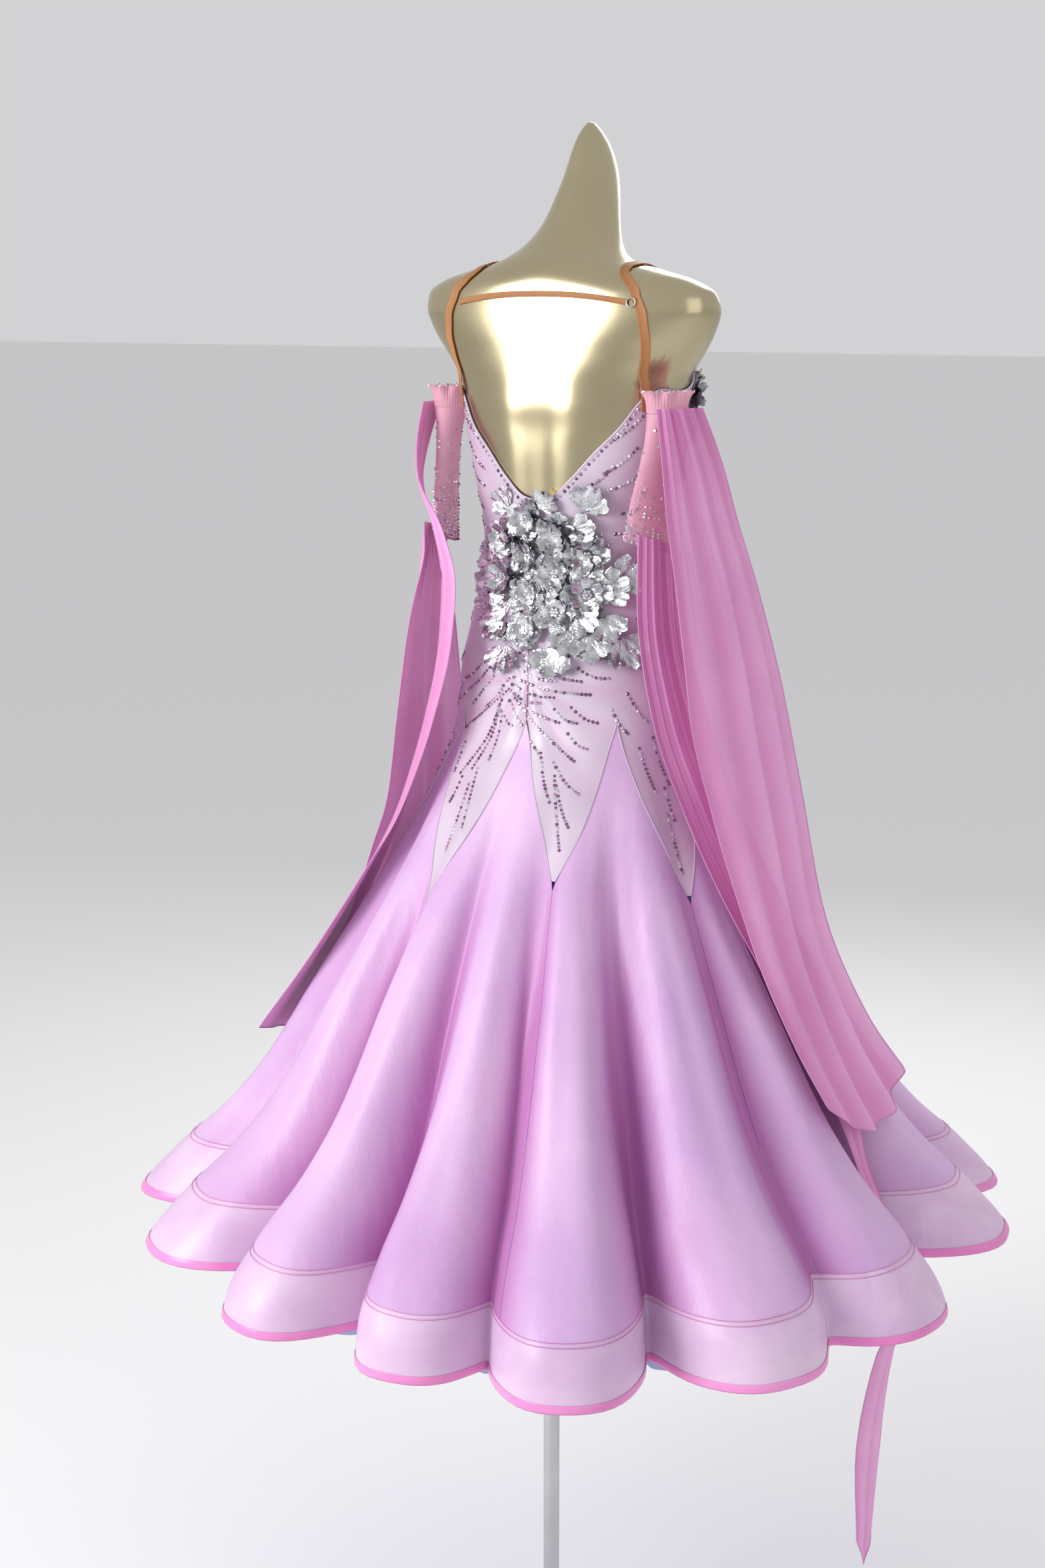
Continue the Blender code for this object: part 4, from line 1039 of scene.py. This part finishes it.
def strap(node, route, width):
    """An elastic braid on the form, with a raised rib along each edge."""
    last = len(route) - 1
    tables = [curve([(k, row[c]) for k, row in enumerate(route)], 1) for c in range(3)]
    t = np.linspace(0, last, 12 * last + 1)
    angle, height, on_fabric = (table(t) for table in tables)

    def surface(u, v):
        return form_point(u, v)

    n = normals(surface, angle, height, 0.5, 0.001)
    lift = STRAP_LIFT + (BODY_GAP + CLOTH) * on_fabric
    middle = form_point(angle, height) + n * lift[:, None]
    run = np.gradient(middle, axis=0)
    run /= np.linalg.norm(run, axis=1, keepdims=True)
    side = np.cross(run, n)
    side /= np.linalg.norm(side, axis=1, keepdims=True)
    rows = []
    section = ((-0.5, 0.0), (-0.5, 0.9), (-0.42, 1.15), (-0.34, 0.9), (0.0, 0.95), (0.34, 0.9),
               (0.42, 1.15), (0.5, 0.9), (0.5, 0.0), (-0.5, 0.0))
    for across, rise in section:
        rows.append(middle + side * width * across + n * STRAP_WALL * rise)
    points = np.array(rows).transpose(1, 0, 2)
    made = grid_piece(node + "_braid", [raised(points)], ELASTIC, closed=True)
    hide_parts(node)
    return made


def straps():
    left = [(360 - angle, height, over) for angle, height, over in STRAP_ROUTE]
    made = [
        strap("strap_r", STRAP_ROUTE, STRAP_WIDTH),
        strap("strap_l", left, STRAP_WIDTH),
    ]
    low, high = BACK_STRAP_ENDS
    route = []
    for k in range(9):
        share = k / 8
        arch = BACK_STRAP_ARCH * math.sin(math.pi * share)
        route.append((low + (high - low) * share, BACK_STRAP_HEIGHT + arch, 0.0))
    made.append(strap("strap_back", route, BACK_STRAP_WIDTH))
    return made


# Seams, bindings and small trims

def fabric_path(angles, heights, lift):
    angles, heights = np.broadcast_arrays(np.asarray(angles, float), np.asarray(heights, float))
    return raised(fabric_point(angles, heights, np.full(angles.shape, lift))[0])


def body_trims():
    """The bound neckline, the seams at the back and sides, and the seams round the points."""
    angles = np.arange(0, 360, 1.5)
    tops = NECK_CURVE(np.abs(angles - 180))
    tube("neckline_binding", fabric_path(angles, tops, -0.0006), 0.0015, LYCRA, closed=True)
    tube("centre_back_seam", fabric_path(180, np.linspace(1.393, 1.132, 60), 0.0002), 0.0006, THREAD)
    for side, angle in (("r", 270), ("l", 90)):
        heights = np.linspace(float(NECK_CURVE(90)) - 0.002, 1.132, 60)
        tube("side_seam_" + side, fabric_path(angle, heights, 0.0), 0.0005, LYCRA)
    for number in range(GORES):
        middle = number * GORE_ANGLE
        for way in (-1, 1):
            end = POINT_ENDS[(number - 1) % GORES] if way < 0 else POINT_ENDS[number]
            share = np.linspace(0, 1, 40)
            a = middle + way * GORE_ANGLE / 2 * share * (1 - POINT_TIP)
            h = GODET_TOP - (GODET_TOP - end) * share
            side = "a" if way < 0 else "b"
            tube(f"point_seam_{number + 1}{side}", fabric_path(a, h, 0.0003), 0.0007, LYCRA, sides=6)


def back_ring():
    """The small ring at the right end of the strap across the back."""
    angle = BACK_STRAP_ENDS[1] + 1.5
    point = form_point(angle, BACK_STRAP_HEIGHT)
    out = normals(form_point, np.array(angle), np.array(BACK_STRAP_HEIGHT), 0.5, 0.001)
    side = np.cross((0, 0, 1.0), out)
    side /= np.linalg.norm(side)
    up = np.cross(out, side)
    a = np.linspace(0, 2 * np.pi, 33)[:-1, None]
    path = point + out * 0.0036 + (side * np.cos(a) + up * np.sin(a)) * 0.0055
    tube("back_ring", raised(path), 0.0009, STEEL, closed=True)


def finger_loops():
    """Thin elastic loops at the ends of the gauntlets."""
    for side in ("l", "r"):
        ring = gauntlet_rings(side, 97, 40)[-1]
        out = ring[24] - ring.mean(axis=0)
        out /= np.linalg.norm(out)
        along = np.array((-out[1], out[0], 0))
        a = np.linspace(0, 2 * np.pi, 49)[:-1, None]
        centre = ring[24] - (0, 0, 0.013)
        path = centre + along * np.sin(a) * 0.007 + np.array((0, 0, 1)) * np.cos(a) * 0.0135
        tube("finger_loop_" + side, path, 0.0007, ELASTIC, closed=True, sides=6)


def on_body(angle, height):
    """Whether a place lies on the body fabric or its points, not on a godet."""
    if height >= GODET_TOP:
        return True
    gore = int(angle // GORE_ANGLE) % GORES
    share = (GODET_TOP - height) / (GODET_TOP - POINT_ENDS[gore])
    half = GORE_ANGLE / 2 * (1 - share * (1 - POINT_TIP))
    return abs(angle - (gore + 0.5) * GORE_ANGLE) < half - STONE_KEPT


def along_line(line):
    """Places a step apart along a line on the fabric."""
    ends = raised(fabric_point(np.array(line[::2]), np.array(line[1::2]))[0])
    count = max(2, round(float(np.linalg.norm(ends[1] - ends[0])) / STONE_STEP))
    share = np.linspace(0, 1, count)
    sag = 0.004 * np.sin(np.pi * share)
    angles = line[0] + (line[2] - line[0]) * share
    heights = line[1] + (line[3] - line[1]) * share - sag
    return list(zip(angles, heights))


def stone_lines():
    """Rows of stones along the back's neckline and out from the gathers."""
    rng = np.random.default_rng(5)
    spots = []
    for line in STONE_LINES + SIDE_STONE_LINES:
        spots += along_line(line)
    for line in SIDE_STONE_LINES:
        spots += along_line((360 - line[0], line[1], 360 - line[2], line[3]))
    for away in np.arange(3.0, 66.0, 2.2):
        top = float(NECK_CURVE(away)) - 0.0065
        spots += [(180 - away, top), (180 + away, top)]
    kinds = {"clear": [], "pink": [], "dark": []}
    for angle, height in spots:
        if not on_body(angle, height):
            continue
        lift = ruching(np.array([angle]), np.array([height])) + 0.0002
        point, out = fabric_point(np.array([angle]), np.array([height]), lift)
        kind = ("clear", "pink", "dark", "dark")[int(rng.integers(0, 4))]
        kinds[kind].append((raised(point[0]), out[0], rng.uniform(0.0019, 0.0025)))
    for kind, material in (("clear", CLEAR_STONE), ("pink", PINK_STONE), ("dark", DARK_STONE)):
        stones(f"back_stones_{kind}", kinds[kind], material)


# Flowers, petals and stones

def place_on_fabric(angle, height, lift=0.0006):
    point, out = fabric_point(np.array([angle]), np.array([height]), np.array([lift]))
    point, out = raised(point[0]), out[0]
    side = np.cross((0, 0, 1.0), out)
    side /= np.linalg.norm(side)
    return point, out, side, np.cross(out, side)


def foil_petal(size, rng, spread, cup):
    """A crinkled petal in its own frame: x along it, y across, z up. It starts at the heart."""
    t, f = np.meshgrid(np.linspace(0.10, 1, PETAL_ROWS), np.linspace(-1, 1, PETAL_COLUMNS), indexing="ij")
    half = math.radians(spread / 2) * (0.45 + 0.75 * np.sin(np.pi * np.clip(t, 0, 0.92)) ** 0.6)
    a = f * half
    r = size * t * (1 - 0.16 * f**2 * t) * (1 + 0.05 * np.sin(7 * f + rng.uniform(0, 6)) * t)
    crinkle = 0.05 * size * t * (
        np.sin(11 * f + 9 * t + rng.uniform(0, 6)) + 0.6 * np.sin(19 * f - 7 * t + rng.uniform(0, 6))
    )
    z = size * cup * t**2 * (0.55 + 0.45 * np.cos(f * 1.6)) + crinkle + 0.10 * size * (1 - t)
    return np.stack((r * np.cos(a), r * np.sin(a), z), axis=-1)


def to_frame(local, point, out, side, up, turn=0.0):
    c, s = math.cos(turn), math.sin(turn)
    x = local[..., :1] * c - local[..., 1:2] * s
    y = local[..., :1] * s + local[..., 1:2] * c
    return point + side * x + up * y + out * local[..., 2:]


def petal_stones(patches, out, rng, count):
    """Small stones scattered over the petals."""
    places = []
    for _ in range(count):
        patch = patches[int(rng.integers(0, len(patches)))]
        row, column = rng.integers(2, patch.shape[0] - 1), rng.integers(1, patch.shape[1] - 1)
        places.append((patch[row, column] + out * 0.0004, out, rng.uniform(0.0009, 0.0015)))
    return places


def flower(number, angle, height, size, petals):
    rng = np.random.default_rng(100 + number)
    point, out, side, up = place_on_fabric(angle, height)
    patches = []
    size *= FLOWER_GROW
    for layer, (grow, count, cup) in enumerate(((1.0, petals, 0.30), (0.66, petals, 0.70))):
        for k in range(count):
            turn = 2 * math.pi * (k + 0.5 * layer) / count + rng.uniform(-0.12, 0.12)
            local = foil_petal(size * grow, rng, spread=400 / count, cup=cup)
            local[..., 2] += size * 0.07 * layer
            patches.append(to_frame(local, point, out, side, up, turn))
    made = grid_piece(f"flower_{number}_foil", patches, SILVER)
    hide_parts(f"flower_{number}")
    heart = []
    for k in range(7):
        a = 2 * math.pi * k / 6
        off = 0.0 if k == 6 else size * 0.14
        rise = 0.30 if k == 6 else 0.24
        place = point + (side * math.cos(a) + up * math.sin(a)) * off + out * size * rise
        heart.append((place, out, size * 0.075))
    heart += petal_stones(patches, out, rng, FLOWER_STONES)
    stones(f"flower_{number}_heart", heart, CLEAR_STONE)


def loose_petal(number, angle, height, size, points_to, node=True):
    rng = np.random.default_rng(200 + number)
    point, out, side, up = place_on_fabric(angle, height)
    patches = []
    size *= PETAL_GROW
    for k, swing in enumerate((-38, 0, 38)):
        local = foil_petal(size * (1.0 - 0.08 * abs(k - 1)), rng, spread=58, cup=0.32)
        local[..., 2] += 0.0006 * k
        patches.append(to_frame(local, point, out, side, up, math.radians(points_to + swing)))
    made = grid_piece(f"petal_{number}_foil", patches, SILVER)
    if node:
        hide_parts(f"petal_{number}")
    stones(f"petal_{number}_stones", petal_stones(patches, out, rng, PETAL_STONES), CLEAR_STONE)


def flowers():
    for k, row in enumerate(FLOWERS, 1):
        flower(k, *row)
    for k, row in enumerate(PETALS, 1):
        loose_petal(k, *row)
    for k, row in enumerate(FILL_PETALS, len(PETALS) + 1):
        loose_petal(k, *row, node=False)


# The stage

def stage():
    mesh = bpy.data.meshes.new("floor")
    size = 60.0
    corners = [(-size, -size, -0.001), (size, -size, -0.001), (size, size, -0.001), (-size, size, -0.001)]
    mesh.from_pydata(corners, [], [(0, 1, 2, 3)])
    floor = bpy.data.objects.new("floor", mesh)
    bpy.context.scene.collection.objects.link(floor)
    material, tree, shader = new_material("floor")
    shader.inputs["Base Color"].default_value = (0.86, 0.86, 0.86, 1)
    shader.inputs["Roughness"].default_value = 0.8
    mesh.materials.append(material)
    bpy.context.scene.view_settings.view_transform = "Standard"
    world = bpy.data.worlds.new("studio")
    bpy.context.scene.world = world
    world.use_nodes = True
    background = world.node_tree.nodes["Background"]
    background.inputs["Color"].default_value = (0.92, 0.92, 0.94, 1)
    background.inputs["Strength"].default_value = 0.70


def area_light(name, place, target, size, power):
    light = bpy.data.objects.new(name, bpy.data.lights.new(name, "AREA"))
    light.data.size = size
    light.data.energy = power
    light.location = place
    light.rotation_euler = (Vector(target) - Vector(place)).to_track_quat("-Z", "Y").to_euler()
    bpy.context.scene.collection.objects.link(light)


def round_about(angle, distance, height):
    a = math.radians(angle)
    return (math.sin(a) * distance, BODY_Y - math.cos(a) * distance, height)


def lights():
    middle = (0, BODY_Y, 1.1)
    for name, turn, distance, height, size, power in LIGHTS:
        area_light(name, round_about(VIEW_ANGLE + turn, distance, height), middle, size, power)


def camera():
    a = math.radians(VIEW_ANGLE)
    eye = bpy.data.objects.new("camera", bpy.data.cameras.new("camera"))
    bpy.context.scene.collection.objects.link(eye)
    bpy.context.scene.camera = eye
    eye.data.sensor_fit = "VERTICAL"
    eye.data.sensor_height = CAMERA_SENSOR
    eye.data.lens = CAMERA_LENS
    eye.location = round_about(VIEW_ANGLE, CAMERA_DISTANCE, CAMERA_HEIGHT)
    tilt, turn = math.radians(CAMERA_TILT), a + math.radians(CAMERA_TURN)
    look = Vector((-math.sin(turn) * math.cos(tilt), math.cos(turn) * math.cos(tilt), -math.sin(tilt)))
    eye.rotation_euler = look.to_track_quat("-Z", "Y").to_euler()


camera()
lights()
stage()
dress_form()
stand()
body_panel("body_front", -2, 4)
body_panel("body_back_left", 2, 2)
body_panel("body_back_right", 4, 2)
for each in range(GORES):
    godet(each)
hem_band()
petticoat()
for each in ("l", "r"):
    armband(each)
    gauntlet(each)
for each in FLOATS:
    float_piece(each)
straps()
body_trims()
back_ring()
finger_loops()
stone_lines()
flowers()
